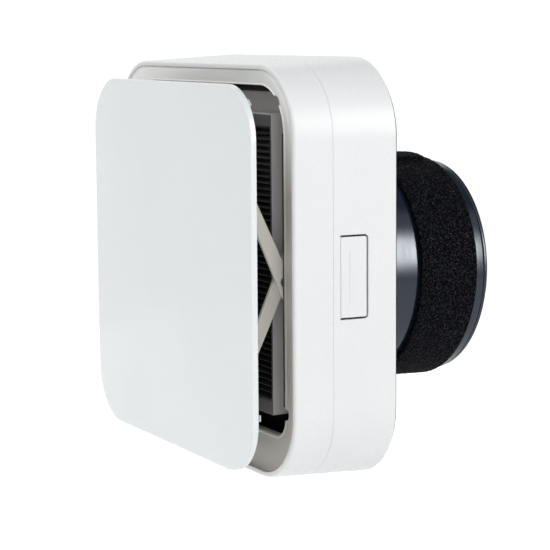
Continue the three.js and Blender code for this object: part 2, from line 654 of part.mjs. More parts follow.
// The flange lies parallel to the wall while the pipe falls outwards.
function ductPipe() {
  const flange = rodY(FLANGE_RADIUS, FLANGE_Y, 0, 0, ROUND_STEPS);
  const tube = fallen(turned([
    [DUCT_INNER - 3, SPIGOT_START], [DUCT_OUTER, SPIGOT_START], [DUCT_OUTER, COLLAR_START],
    [COLLAR_RADIUS, COLLAR_START], [COLLAR_RADIUS, DUCT_END], [DUCT_INNER - 3, DUCT_END],
  ]));
  const bore = fallen(rodY(DUCT_INNER, [-30, DUCT_END + 5], 0, 0, ROUND_STEPS));
  const roomSide = box([-100, 100], [SPIGOT_START - 10, FLANGE_Y[0]], [-100, 100]);
  const holes = ductScrewSpots.map(([x, z]) => rodY(DUCT_SCREW + GAP, [-10, 2], x, z, HOLE_STEPS));
  return cut(joined(flange, tube), bore, roomSide, ...holes);
}
place(unit, 'duct_pipe', ductPipe(), BLACK_GLOSS);

ductScrewSpots.forEach(([x, z], i) => {
  place(unit, `duct_screw_${i + 1}`, screw(DUCT_SCREW, 3.4, [-8.2, -6.2], -2, x, z), STEEL);
});

// Foam strip wrapped round the pipe, with its end lapped over its start at the top.
const LAP_HALF_ANGLE = THREE.MathUtils.degToRad(14);
function foamWrap() {
  const shape = new THREE.Shape();
  const up = Math.PI / 2;
  shape.absarc(0, 0, FOAM_OUTER, up + LAP_HALF_ANGLE, up - LAP_HALF_ANGLE + 2 * Math.PI, false);
  shape.absarc(0, 0, FOAM_OUTER + FOAM_LAP, up - LAP_HALF_ANGLE, up + LAP_HALF_ANGLE, false);
  shape.closePath();
  const bore = new THREE.Path();
  bore.absarc(0, 0, DUCT_OUTER + GAP, 0, 2 * Math.PI, false);
  shape.holes.push(bore);
  return extrudeY(shape, [FOAM_START, FOAM_END], 22);
}
place(duct, 'foam_wrap', foamWrap(), BLACK_FOAM);

const endRing = turned([
  [61.5, 94], [DUCT_INNER - 0.4, 94], [DUCT_INNER - 0.4, DUCT_END + GAP], [73.9, DUCT_END + GAP],
  [73.9, END_RING_REAR - 0.6], [73.3, END_RING_REAR], [63.5, END_RING_REAR], [63.5, 98], [61.5, 98],
]);
place(duct, 'end_ring', endRing, BLACK_GLOSS);

// Screen of a rim and crossing bars that lies in the end ring.
const SCREEN_Y = [98.3, 100.3];
const SCREEN_RIM = [63.1, 60];
const SCREEN_PITCH = 15;
function insectScreen() {
  const bars = [-3, -2, -1, 0, 1, 2, 3].map((i) => {
    const z = i * SCREEN_PITCH;
    const reach = Math.sqrt(SCREEN_RIM[1] ** 2 - z ** 2) + 1;
    return box([-reach, reach], SCREEN_Y, [z - 1, z + 1]);
  });
  const upright = box([-1, 1], SCREEN_Y, [-SCREEN_RIM[1] - 1, SCREEN_RIM[1] + 1]);
  return joined(ring(...SCREEN_RIM, ...SCREEN_Y), ...bars, upright);
}
place(duct, 'insect_screen', insectScreen(), BLACK_PLASTIC);

// ---------------------------------------------------------------- heat core
function heatCore() {
  const reach = Math.floor(CELL_LIMIT / CELL_PITCH);
  const steps = Array.from({ length: 2 * reach + 1 }, (_, i) => (i - reach) * CELL_PITCH);
  const cells = steps.flatMap((x) => steps.filter((z) => Math.hypot(x, z) < CELL_LIMIT).map((z) =>
    box([x - CELL, x + CELL], [CORE_START - 1, CORE_END + 1], [z - CELL, z + CELL])));
  return cut(rodY(CORE_RADIUS, [CORE_START, CORE_END], 0, 0, ROUND_STEPS), ...cells);
}
place(duct, 'heat_core', heatCore(), CERAMIC);
const SEAL_WIDTH = 6;
const DUST_FILTER_Y = [40, 43];
[['core_seal_front', CORE_START + 4], ['core_seal_rear', CORE_END - 4 - SEAL_WIDTH]].forEach(([name, y]) => {
  place(duct, name, ring(DUCT_INNER - 0.4, CORE_RADIUS + GAP, y, y + SEAL_WIDTH), BLACK_FOAM);
});
place(duct, 'dust_filter', rodY(DUCT_INNER - 0.6, DUST_FILTER_Y, 0, 0, ROUND_STEPS), BLACK_FOAM);

// ---------------------------------------------------------------- fan
const FAN_RING = [0, 37];
const FAN_BORE = 63;
const STRUT_Y = [30, 34];
const STRUT_HALF = 3;
const MOTOR_BASE = 17;
const TUBE_OUTER = 6.5;
const TUBE_INNER = 5.4;
const TUBE_FRONT = 12;
const MOTOR_STEPS = 24;
function fanFrame() {
  const body = ring(DUCT_INNER - 0.4, FAN_BORE, ...FAN_RING);
  const strut = box([-FAN_BORE - 1, FAN_BORE + 1], STRUT_Y, [-STRUT_HALF, STRUT_HALF]);
  const struts = [1, 3].map((eighths) => strut.clone().rotateY((eighths * Math.PI) / 4));
  const base = rodY(MOTOR_BASE, STRUT_Y, 0, 0, MOTOR_STEPS);
  const tube = rodY(TUBE_OUTER, [TUBE_FRONT, STRUT_Y[1]], 0, 0, MOTOR_STEPS);
  const bore = rodY(TUBE_INNER, [TUBE_FRONT - 1, STRUT_Y[1] - 1.5], 0, 0, MOTOR_STEPS);
  return cut(joined(body, ...struts, base, tube), bore);
}
place(duct, 'fan_frame', fanFrame(), BLACK_PLASTIC);

const HUB_RADIUS = 19;
const HUB_INNER = 17.4;
const HUB_Y = [5, 27];
const HUB_FLOOR = 8;
const BLADE_TIP = 61;
const BLADES = 7;
const BLADE_THICKNESS = 2;
// One blade: a flat section that untwists and widens from the hub to the tip.
function fanBlade() {
  const sections = [HUB_RADIUS - 1, 32, 47, BLADE_TIP].map((radius, i, all) => {
    const along = i / (all.length - 1);
    const chord = THREE.MathUtils.lerp(22, 34, along);
    const pitch = THREE.MathUtils.degToRad(THREE.MathUtils.lerp(42, 24, along));
    const corners = [[-1, -1], [1, -1], [1, 1], [-1, 1]];
    return corners.map(([u, v]) => {
      const a = (u * chord) / 2;
      const b = (v * BLADE_THICKNESS) / 2;
      const z = a * Math.cos(pitch) - b * Math.sin(pitch);
      const y = a * Math.sin(pitch) + b * Math.cos(pitch);
      const x = Math.sqrt(Math.max(radius ** 2 - z ** 2, 1));
      return new THREE.Vector3(x, (HUB_Y[0] + HUB_Y[1]) / 2 + y, z);
    });
  });
  const middle = (loop) => loop.reduce((sum, p) => sum.add(p), new THREE.Vector3()).divideScalar(4);
  return loft(sections, [middle(sections[0]), middle(sections[sections.length - 1])]);
}

function impeller() {
  const hub = rodY(HUB_RADIUS, HUB_Y, 0, 0, MOTOR_STEPS);
  const blades = Array.from({ length: BLADES }, (_, i) => fanBlade().rotateY((2 * Math.PI * i) / BLADES));
  return cut(joined(hub, ...blades), rodY(HUB_INNER, [HUB_FLOOR, HUB_Y[1] + 10], 0, 0, MOTOR_STEPS));
}
place(duct, 'impeller', impeller(), BLACK_PLASTIC);

const MAGNET_INNER = 14.6;
const MAGNET_Y = [12, 26];
const STATOR_OUTER = 13.8;
const STATOR_Y = [13, 25.5];
const SHAFT_RADIUS = 2;
const SHAFT_END = 31.5;
const BEARING_WIDTH = 4;
place(duct, 'magnet_ring', ring(HUB_INNER - GAP, MAGNET_INNER, ...MAGNET_Y, MOTOR_STEPS), MAGNET);
place(duct, 'motor_stator', ring(STATOR_OUTER, TUBE_OUTER + GAP, ...STATOR_Y, MOTOR_STEPS), COPPER);
place(duct, 'motor_shaft', rodY(SHAFT_RADIUS, [HUB_FLOOR + GAP, SHAFT_END]), STEEL);
[['bearing_front', 13], ['bearing_rear', 27]].forEach(([name, y]) => {
  place(duct, name, ring(TUBE_INNER - GAP, SHAFT_RADIUS + GAP, y, y + BEARING_WIDTH, 16), STEEL);
});

export default unit;
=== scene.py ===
"""Looks of a through-wall heat recovery unit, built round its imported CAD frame.

Lengths are in millimetres until place() puts a piece in the frame. A housing point is
(x, depth behind the front lip, z from the housing's centre). A duct point is (x, along, z)
about the duct's axis, which falls outwards.
"""

import json
import math

import bmesh
import bpy
from mathutils import Matrix, Vector, noise


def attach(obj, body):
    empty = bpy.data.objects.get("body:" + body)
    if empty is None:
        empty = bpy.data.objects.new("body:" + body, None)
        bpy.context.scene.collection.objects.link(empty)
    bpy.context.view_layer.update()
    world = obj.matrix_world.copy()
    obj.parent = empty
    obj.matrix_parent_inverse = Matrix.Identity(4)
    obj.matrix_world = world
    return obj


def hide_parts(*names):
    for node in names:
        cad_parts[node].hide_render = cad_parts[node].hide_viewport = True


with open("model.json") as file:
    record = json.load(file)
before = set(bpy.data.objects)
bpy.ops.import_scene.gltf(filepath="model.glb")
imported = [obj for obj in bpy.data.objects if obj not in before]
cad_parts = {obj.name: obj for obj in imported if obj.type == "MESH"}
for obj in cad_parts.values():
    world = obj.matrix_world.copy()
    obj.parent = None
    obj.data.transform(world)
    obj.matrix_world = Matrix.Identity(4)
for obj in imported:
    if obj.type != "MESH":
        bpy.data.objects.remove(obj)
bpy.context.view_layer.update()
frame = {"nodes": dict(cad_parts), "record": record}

MM = 0.001
TAU = 2 * math.pi

# ---------------------------------------------------------------- dimensions shared with the frame
WALL_OFFSET = 71.9
BODY_RISE = 11.3
BODY_HALF = 130
BODY_DEPTH = 70.1
BODY_GROWTH = 3.67
CORNER_FRONT = 44.9
CORNER_BACK = 49.3
SHELL_WALL = 2.6
SEAM_DEPTH = 26.4
SEAM_GAP = 0.1
LIP_WIDTH = 3.6
OPEN_HALF = 108
OPEN_TOP = 116.8
OPEN_BOTTOM = -101.5
OPEN_DEPTH = 5.2
BEZEL_TOP_CORNER = 30
BEZEL_LOW_CORNER = 11
BEZEL_RIM = 0.4
PANEL_HALF_W = 119.1
PANEL_HALF_H = 120.6
PANEL_DROP = -2.3
PANEL_CORNER = 34.4
PANEL_REAR = -19.4
PANEL_FACE = -22.4
PANEL_DOME = 3.15
NOTCHES = ((98.6, 106.1, 5, math.pi / 4), (108.6, -86.8, 3.8, 0))    # x, z, radius, facing
CASSETTE = (91.6, 99.2, -90.5)   # half width, top and bottom of the filter frame
CASSETTE_WINDOW = (89, 91.2, -81.4)
CASSETTE_FRONT = 5.5
CASSETTE_REAR = 16
ARM_CENTRE = (7.2, -4)
ARM_REACH = 22
ARM_RISE = 48
ARM_END_RADIUS = 3.9
ARM_HALF_WIDTH = 4.75
GASKET_INSET = 2.4
GASKET_INNER = 14
DUCT_FALL = math.radians(2)
DUCT_OUTER = 73.5
DUCT_INNER = 71
FLANGE_RADIUS = 84
COLLAR_RADIUS = 74.1
COLLAR_START = 98.3
DUCT_END = 105.3
RING_END = 108.3
FOAM_OUTER = 77
FOAM_START = 54
FOAM_END = 98
FOAM_LAP = 3
LAP_END = 89.5
CORE_RADIUS = 60
CORE_START = 44
CORE_END = 91

ROUND = 128                      # steps round a turned piece
CORNER = 20                      # steps round each corner of the housing

# ---------------------------------------------------------------- camera
LENS = 121.72
SENSOR = 36
AZIMUTH = math.radians(61.8009)
ELEVATION = math.radians(7.5441)
ROLL = math.radians(-0.4152)
DISTANCE = 1.2388                # metres, as are the shifts
SHIFT_RIGHT = 0.04974
SHIFT_UP = -0.01079


def make_camera():
    back = Vector((math.sin(AZIMUTH) * math.cos(ELEVATION),
                   -math.cos(AZIMUTH) * math.cos(ELEVATION), math.sin(ELEVATION)))
    right = (-back).cross(Vector((0, 0, 1))).normalized()
    up = right.cross(-back)
    rolled_right = right * math.cos(ROLL) + up * math.sin(ROLL)
    rolled_up = up * math.cos(ROLL) - right * math.sin(ROLL)
    lip_centre = Vector((0, -WALL_OFFSET, BODY_RISE)) * MM
    place_at = lip_centre + back * DISTANCE + rolled_right * SHIFT_RIGHT + rolled_up * SHIFT_UP
    turn = Matrix((rolled_right, rolled_up, back)).transposed()
    data = bpy.data.cameras.new("camera")
    data.lens = LENS
    data.sensor_width = SENSOR
    data.clip_start = 0.01
    data.clip_end = 50
    camera = bpy.data.objects.new("camera", data)
    camera.matrix_world = Matrix.Translation(place_at) @ turn.to_4x4()
    bpy.context.scene.collection.objects.link(camera)
    bpy.context.scene.camera = camera


make_camera()


# ---------------------------------------------------------------- materials
class Shader:
    """A procedural material under construction, with a Principled shader at its end."""

    def __init__(self, name, roughness, metallic=0.0):
        self.material = bpy.data.materials.new(name)
        self.material.use_nodes = True
        self.tree = self.material.node_tree
        self.tree.nodes.clear()
        self.output = self.tree.nodes.new("ShaderNodeOutputMaterial")
        self.principled = self.tree.nodes.new("ShaderNodeBsdfPrincipled")
        self.principled.inputs["Roughness"].default_value = roughness
        self.principled.inputs["Metallic"].default_value = metallic
        self.link(self.principled.outputs["BSDF"], self.output.inputs["Surface"])
        self.place = self.tree.nodes.new("ShaderNodeTexCoord").outputs["Object"]
        self.normal = None

    def link(self, a, b):
        self.tree.links.new(a, b)

    def set(self, **values):
        for key, value in values.items():
            self.principled.inputs[key.replace("_", " ")].default_value = value

    def stretched(self, x, y, z):
        mapping = self.tree.nodes.new("ShaderNodeMapping")
        mapping.inputs["Scale"].default_value = (x, y, z)
        self.link(self.place, mapping.inputs["Vector"])
        return mapping.outputs["Vector"]

    def noise(self, scale, detail, roughness=0.5, vector=None):
        node = self.tree.nodes.new("ShaderNodeTexNoise")
        node.inputs["Scale"].default_value = scale
        node.inputs["Detail"].default_value = detail
        node.inputs["Roughness"].default_value = roughness
        self.link(vector or self.place, node.inputs["Vector"])
        return node.outputs["Fac"]

    def cells(self, scale):
        node = self.tree.nodes.new("ShaderNodeTexVoronoi")
        node.inputs["Scale"].default_value = scale
        self.link(self.place, node.inputs["Vector"])
        return node.outputs["Distance"]

    def spread(self, value, low, high, to_low=0.0, to_high=1.0):
        node = self.tree.nodes.new("ShaderNodeMapRange")
        node.inputs["From Min"].default_value = low
        node.inputs["From Max"].default_value = high
        node.inputs["To Min"].default_value = to_low
        node.inputs["To Max"].default_value = to_high
        self.link(value, node.inputs["Value"])
        return node.outputs["Result"]

    def times(self, a, b):
        node = self.tree.nodes.new("ShaderNodeMath")
        node.operation = "MULTIPLY"
        self.link(a, node.inputs[0])
        self.link(b, node.inputs[1])
        return node.outputs["Value"]

    def absolute(self, value):
        node = self.tree.nodes.new("ShaderNodeMath")
        node.operation = "ABSOLUTE"
        self.link(value, node.inputs[0])
        return node.outputs["Value"]

    def part_of(self, axis):
        node = self.tree.nodes.new("ShaderNodeSeparateXYZ")
        self.link(self.place, node.inputs["Vector"])
        return node.outputs[axis]

    def colours(self, value, *stops):
        node = self.tree.nodes.new("ShaderNodeValToRGB")
        ramp = node.color_ramp
        while len(ramp.elements) < len(stops):
            ramp.elements.new(0.5)
        for element, (at, colour) in zip(ramp.elements, stops):
            element.position = at
            element.color = (*colour, 1)
        self.link(value, node.inputs["Fac"])
        return node.outputs["Color"]

    def mixed(self, value, a, b):
        node = self.tree.nodes.new("ShaderNodeMix")
        node.data_type = "RGBA"
        self.link(value, node.inputs["Factor"])
        for socket, source in ((node.inputs[6], a), (node.inputs[7], b)):
            if isinstance(source, tuple):
                socket.default_value = (*source, 1)
            else:
                self.link(source, socket)
        return node.outputs[2]

    def colour(self, source):
        self.link(source, self.principled.inputs["Base Color"])

    def rough(self, source):
        self.link(source, self.principled.inputs["Roughness"])

    def bump(self, height, distance, strength):
        node = self.tree.nodes.new("ShaderNodeBump")
        node.inputs["Strength"].default_value = strength
        node.inputs["Distance"].default_value = distance
        self.link(height, node.inputs["Height"])
        if self.normal is not None:
            self.link(self.normal, node.inputs["Normal"])
        self.normal = node.outputs["Normal"]
        self.link(self.normal, self.principled.inputs["Normal"])


def shade(colour, factor):
    return tuple(min(1.0, c * factor) for c in colour)


SHADE_PAINT_LOW = 60                    # heights between which the bezel's tone changes, from painted shade at its foot to painted light above
SHADE_PAINT_HIGH = 120
# where the cassette frame's outer sides and top turn to painted light
LIT_SIDE_START = CASSETTE[0] - 0.45
LIT_SIDE_FULL = CASSETTE[0] - 0.25
LIT_TOP_START = CASSETTE[1] + BODY_RISE - 0.45
LIT_TOP_FULL = CASSETTE[1] + BODY_RISE - 0.2
PLEAT_FRONT = 7.2
PLEAT_CREST = 1.1                # depth over which a pleat's crest is painted lighter, a painted highlight


def moulded(name, colour, roughness, grain, relief, drift, coat=0.0, low=None):
    """Moulded plastic: a soft drift of tone, a fine grain in the gloss and the surface.

    With a low tone, the colour changes to it towards the foot of the piece: painted shade low down and
    painted light higher up, standing in for how the light falls.
    """
    s = Shader(name, roughness)
    s.set(IOR=1.46, Coat_Weight=coat, Coat_Roughness=0.06)
    tone = s.noise(14, 4, 0.55)
    mottle_and_painted_shade = s.colours(tone, (0.3, shade(colour, 1 - drift)), (0.7, shade(colour, 1 + drift)))
    # painted shade: darker towards the low tone at the foot, painted light towards the top
    if low is not None:
        rise = s.spread(s.part_of("Z"), SHADE_PAINT_LOW * MM, SHADE_PAINT_HIGH * MM)
        mottle_and_painted_shade = s.mixed(rise, low, mottle_and_painted_shade)
    s.colour(mottle_and_painted_shade)
    fine = s.noise(grain, 2, 0.6)
    s.rough(s.spread(fine, 0.3, 0.7, roughness * 0.86, roughness * 1.14))
    s.bump(fine, relief, 0.5)
    s.bump(s.noise(9, 1, 0.4), 0.00012, 0.12)
    return s.material


def glossed(name, colour, roughness):
    """Polished dark plastic with faint rub marks along it."""
    s = Shader(name, roughness)
    s.set(IOR=1.5, Coat_Weight=0.1, Coat_IOR=1.5, Coat_Roughness=0.05,
          Specular_IOR_Level=0.4, Specular_Tint=(0.86, 0.93, 1, 1))
    tone = s.noise(22, 5, 0.6)
    s.colour(s.colours(tone, (0.3, shade(colour, 0.85)), (0.75, shade(colour, 1.15))))
    rub = s.noise(60, 6, 0.7, s.stretched(1, 6, 1))
    s.rough(s.spread(rub, 0.35, 0.75, roughness * 0.8, roughness * 1.5))
    s.bump(s.noise(700, 2, 0.5), 0.00001, 0.25)
    return s.material


FOAM_CELLS = 950                 # per metre
FOAM_RELIEF = 0.0006


def foam(name, colour, glint_highlight_colour):
    """Open-cell foam: dark pores between cell walls, with painted glints where the walls would catch the
    light.
    """
    s = Shader(name, 0.85)
    s.set(Specular_IOR_Level=0.03)
    pores = s.cells(FOAM_CELLS)
    walls = s.noise(FOAM_CELLS * 0.8, 4, 0.7)
    patch = s.spread(s.noise(35, 3, 0.6), 0.3, 0.7, 0.8, 1.2)
    speckle = s.noise(FOAM_CELLS * 0.8, 2, 0.6)
    ground = s.colours(speckle, (0.42, shade(colour, 0.2)), (0.54, shade(colour, 3.5)),
                       (0.66, shade(colour, 14)))
    # painted highlight: bright specks mixed into the colour as glints
    painted_glint = s.spread(s.noise(FOAM_CELLS, 1, 0.4), 0.68, 0.76)
    s.colour(s.mixed(s.times(painted_glint, patch), ground, glint_highlight_colour))
    s.rough(s.spread(walls, 0.3, 0.7, 0.95, 0.6))
    s.bump(pores, FOAM_RELIEF, 0.8)
    s.bump(walls, FOAM_RELIEF * 0.6, 0.7)
    return s.material


def metal(name, colour, roughness, stretch, scale, relief=0.00002):
    """Bare or plated metal with fine drawn lines or spangle."""
    s = Shader(name, roughness, 1.0)
    lines = s.noise(scale, 5, 0.65, s.stretched(*stretch))
    s.colour(s.colours(lines, (0.3, shade(colour, 0.82)), (0.72, shade(colour, 1.1))))
    s.rough(s.spread(lines, 0.3, 0.7, roughness * 0.75, roughness * 1.3))
    s.bump(lines, relief, 0.4)
    return s.material


def pleat_cloth(name, colour, crest_highlight):
    """Black filter fleece whose front pleat crests are painted lighter, a painted highlight where they
    catch the light.
    """
    s = Shader(name, 0.9)
    s.set(Sheen_Weight=0.1, Sheen_Roughness=0.5)
    crest_at = PLEAT_FRONT - WALL_OFFSET
    depth = s.spread(s.part_of("Y"), crest_at * MM, (crest_at + PLEAT_CREST) * MM, 1.0, 0.0)
    fibres = s.noise(1500, 4, 0.7, s.stretched(0.25, 1, 1))
    ground = s.colours(fibres, (0.25, shade(colour, 0.5)), (0.75, shade(colour, 1.6)))
    # painted highlight on the front crests, patchy along them
    painted_crest_highlight = s.times(depth, s.spread(s.noise(260, 3, 0.6), 0.3, 0.7, 0.65, 1.0))
    s.colour(s.mixed(painted_crest_highlight, ground, crest_highlight))
    s.bump(fibres, 0.00015, 0.6)
    return s.material


def frame_with_painted_lit_sides(name, colour, painted_light_colour, roughness):
    """Dark frame board whose outer sides and top are painted lighter, a painted light where the lamps fall
    on them.
    """
    s = Shader(name, roughness)
    tone = s.noise(14, 4, 0.55)
    board = s.colours(tone, (0.3, shade(colour, 0.94)), (0.7, shade(colour, 1.06)))
    painted_light_tone = s.colours(tone, (0.3, shade(painted_light_colour, 0.96)), (0.7, shade(painted_light_colour, 1.04)))
    # painted light: the outer side faces and the top face take the lighter colour
    side = s.absolute(s.part_of("X"))
    painted_lit_sides = s.mixed(s.spread(side, LIT_SIDE_START * MM, LIT_SIDE_FULL * MM), board, painted_light_tone)
    s.colour(s.mixed(s.spread(s.part_of("Z"), LIT_TOP_START * MM, LIT_TOP_FULL * MM), painted_lit_sides, painted_light_tone))
    fine = s.noise(1300, 2, 0.6)
    s.rough(s.spread(fine, 0.3, 0.7, roughness * 0.86, roughness * 1.14))
    s.bump(fine, 0.00003, 0.5)
    return s.material


def ceramic(name, colour):
    """Unglazed fired clay, a little blotchy."""
    s = Shader(name, 0.8)
    tone = s.noise(60, 5, 0.6)
    s.colour(s.colours(tone, (0.3, shade(colour, 0.85)), (0.7, shade(colour, 1.08))))
    s.bump(s.noise(900, 3, 0.7), 0.00012, 0.6)
    return s.material


LOOKS = {
    "shell_white": moulded("shell_white", (0.545, 0.555, 0.56), 0.3, 1100, 0.000012, 0.012),
    "panel_white": moulded("panel_white", (0.535, 0.56, 0.568), 0.24, 1100, 0.00001, 0.012, 0.15),
    # bezel_grey: the light main colour is painted light on the top, the low tone is painted shade at the
    # foot
    "bezel_grey": moulded("bezel_grey", (0.88, 0.87, 0.86), 0.36, 1300, 0.00003, 0.02, 0.3,
                          low=(0.405, 0.385, 0.35)),
    "casing_grey": moulded("casing_grey", (0.5, 0.48, 0.465), 0.5, 1300, 0.00004, 0.04),
    # frame_grey: the second colour is painted light on the frame's outer sides and top
    "frame_grey": frame_with_painted_lit_sides("frame_grey", (0.125, 0.12, 0.118), (0.50, 0.485, 0.48), 0.46),
    # filter_media: the second colour is the painted highlight on the pleat crests
    "filter_media": pleat_cloth("filter_media", (0.006, 0.006, 0.007), (0.085, 0.085, 0.09)),
    "arm_ivory": moulded("arm_ivory", (0.66, 0.64, 0.59), 0.4, 1200, 0.00003, 0.02),
    "steel": metal("steel", (0.56, 0.57, 0.59), 0.28, (1, 0.2, 1), 700),
    "zinc_plate": metal("zinc_plate", (0.52, 0.54, 0.55), 0.42, (1, 1, 1), 120),
    "black_plastic": moulded("black_plastic", (0.012, 0.012, 0.013), 0.42, 1100, 0.00004, 0.15),
    "black_gloss": glossed("black_gloss", (0.006, 0.009, 0.018), 0.14),
    # black_foam: the last colour is the painted glint highlight
    "black_foam": foam("black_foam", (0.0010, 0.0011, 0.0016), (0.06, 0.058, 0.055)),
    "ceramic": ceramic("ceramic", (0.62, 0.54, 0.42)),
    "board_green": moulded("board_green", (0.016, 0.11, 0.05), 0.35, 500, 0.00004, 0.25),
    "copper": metal("copper", (0.62, 0.26, 0.12), 0.35, (1, 14, 1), 220, 0.00008),
    "magnet": moulded("magnet", (0.03, 0.027, 0.026), 0.6, 600, 0.00008, 0.2),
}


# ---------------------------------------------------------------- solids
def mesh_of(vertices, faces):
    """A closed bmesh in millimetres from points and faces."""
    bm = bmesh.new()
    points = [bm.verts.new(v) for v in vertices]
    bm.verts.ensure_lookup_table()
    for face in faces:
        bm.faces.new([points[i] for i in face])
    bmesh.ops.recalc_face_normals(bm, faces=bm.faces)
    return bm


def band(a, b, count):
    return [(a + i, b + i, b + (i + 1) % count, a + (i + 1) % count) for i in range(count)]


def hoop(loops):
    """A ring-shaped solid through loops that close on the first one."""
    count = len(loops[0])
    faces = []
    for k in range(len(loops)):
        faces += band(k * count, ((k + 1) % len(loops)) * count, count)
    return mesh_of([p for loop in loops for p in loop], faces)


def loft(loops):
    """A solid skinned over loops, with its two end loops closed flat."""
    count = len(loops[0])
    faces = []
    for k in range(len(loops) - 1):
        faces += band(k * count, (k + 1) * count, count)
    last = (len(loops) - 1) * count
    faces.append(tuple(range(count)))
    faces.append(tuple(reversed(range(last, last + count))))
    return mesh_of([p for loop in loops for p in loop], faces)


def rounded(profile, steps=4, closed=True):
    """The corners (a, b, radius) of an outline, each eased by a curve of about that radius."""
    points = []
    count = len(profile)
    for i, (a, b, radius) in enumerate(profile):
        here = Vector((a, b))
        if radius == 0 or (not closed and i in (0, count - 1)):
            points.append(here)
            continue
        before = Vector(profile[i - 1][:2]) - here
        after = Vector(profile[(i + 1) % count][:2]) - here
        angle = before.angle(after)
        reach = radius / math.tan(angle / 2)
        reach = min(reach, 0.49 * before.length, 0.49 * after.length)
        start = here + before.normalized() * reach
        end = here + after.normalized() * reach
        for k in range(steps + 1):
            t = k / steps
            points.append(start * (1 - t) ** 2 + here * (2 * t * (1 - t)) + end * t ** 2)
    return [(p.x, p.y) for p in points]


def turned(profile, steps=ROUND):
    """A solid of revolution about Y from a closed outline of (radius, y)."""
    return hoop([[(r * math.cos(TAU * i / steps), y, r * math.sin(TAU * i / steps))
                  for i in range(steps)] for r, y in profile])


def prism(outline, span, axis):
    """An outline extruded along an axis: "x" for one in (y, z), "y" for one in (x, z)."""
    def at(p, along):
        return (along, p[0], p[1]) if axis == "x" else (p[0], along, p[1])
    return loft([[at(p, along) for p in outline] for along in span])


SHARP = math.radians(30)


def ease(bm, width, segments=2):
    """Rounds the sharp edges of a solid."""
    bmesh.ops.remove_doubles(bm, verts=bm.verts, dist=1e-4)
    bmesh.ops.dissolve_limit(bm, angle_limit=math.radians(0.5), verts=bm.verts, edges=bm.edges)
    sharp = [e for e in bm.edges if len(e.link_faces) == 2
             and e.calc_face_angle(0) > SHARP]
    bmesh.ops.bevel(bm, geom=sharp, offset=width, segments=segments, profile=0.5,
                    affect="EDGES", clamp_overlap=True)
    return bm


def bar(x, y, z):
    """A box from its three ranges."""
    return prism([(x[0], z[0]), (x[1], z[0]), (x[1], z[1]), (x[0], z[1])], y, "y")


def block(x, y, z, width, segments=2):
    """A box with eased edges."""
    return ease(bar(x, y, z), width, segments)


def scratch(bm):
    data = bpy.data.meshes.new("scratch")
    bm.to_mesh(data)
    bm.free()
    obj = bpy.data.objects.new("scratch", data)
    bpy.context.scene.collection.objects.link(obj)
    return obj


def combine(first, others, operation):
    """Joins solids to the first, or cuts them out of it."""
    base = scratch(first)
    for other in others:
        tool = scratch(other)
        modifier = base.modifiers.new("tool", "BOOLEAN")
        modifier.operation = operation
        modifier.solver = "EXACT"
        modifier.object = tool
        bpy.context.view_layer.update()
        done = base.evaluated_get(bpy.context.evaluated_depsgraph_get()).to_mesh()
        bm = bmesh.new()
        bm.from_mesh(done)
        base.modifiers.clear()
        bm.to_mesh(base.data)
        bm.free()
        bpy.data.objects.remove(tool)
    result = bmesh.new()
    result.from_mesh(base.data)
    bpy.data.objects.remove(base)
    return result


def cut(first, *others):
    return combine(first, others, "DIFFERENCE")


def join(*solids):
    """Lays solids in one mesh without cutting them at each other."""
    bm = bmesh.new()
    for solid in solids:
        data = bpy.data.meshes.new("part")
        solid.to_mesh(data)
        solid.free()
        bm.from_mesh(data)
        bpy.data.meshes.remove(data)
    return bm


def flipped(bm, side):
    """A solid for the right side, mirrored where the side is -1."""
    for v in bm.verts:
        v.co.x *= side
    return bm


def in_housing(p):
    return Vector((p[0], p[1] - WALL_OFFSET, p[2] + BODY_RISE)) * MM


def in_duct(p):
    return Matrix.Rotation(-DUCT_FALL, 3, "X") @ Vector(p) * MM


def place(name, bm, where, look, body, *nodes, crease=32):
    """Puts a solid in the frame, in place of its CAD nodes, on its body."""
    for v in bm.verts:
        v.co = where(v.co)
    bmesh.ops.recalc_face_normals(bm, faces=bm.faces)
    for face in bm.faces:
        face.smooth = True
    for edge in bm.edges:
        edge.smooth = len(edge.link_faces) == 2 and edge.calc_face_angle(0) < math.radians(crease)
    data = bpy.data.meshes.new(name)
    bm.to_mesh(data)
    bm.free()
    data.materials.append(LOOKS[look])
    obj = bpy.data.objects.new(name, data)
    bpy.context.scene.collection.objects.link(obj)
    even = obj.modifiers.new("even_shading", "WEIGHTED_NORMAL")
    even.keep_sharp = True
    even.weight = 80
    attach(obj, body)
    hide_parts(*nodes)


# ---------------------------------------------------------------- outlines
def rounded_loop(half, top, bottom, top_corner, low_corner, y, steps=CORNER):
    """Points round a rectangle with rounded corners in (x, z) at depth y."""
    corners = ((half, top, top_corner, -1, -1, 0), (-half, top, top_corner, 1, -1, 90),
               (-half, bottom, low_corner, 1, 1, 180), (half, bottom, low_corner, -1, 1, 270))
    loop = []
    for x, z, radius, in_x, in_z, start in corners:
        for i in range(steps + 1):
            angle = math.radians(start + 90 * i / steps)
            loop.append((x + in_x * radius + radius * math.cos(angle), y,
                         z + in_z * radius + radius * math.sin(angle)))
    return loop


def body_loop(depth, inset):
    along = depth / BODY_DEPTH
    half = BODY_HALF + BODY_GROWTH * along - inset
    corner = CORNER_FRONT + (CORNER_BACK - CORNER_FRONT) * along - inset
    return rounded_loop(half, half, -half, corner, corner, depth)


def shell(profile, steps=4):
    return hoop([body_loop(depth, inset) for depth, inset in rounded(profile, steps)])


def side_x(depth):
    """Where the straight side of the housing stands at a depth."""
    return BODY_HALF + BODY_GROWTH * depth / BODY_DEPTH


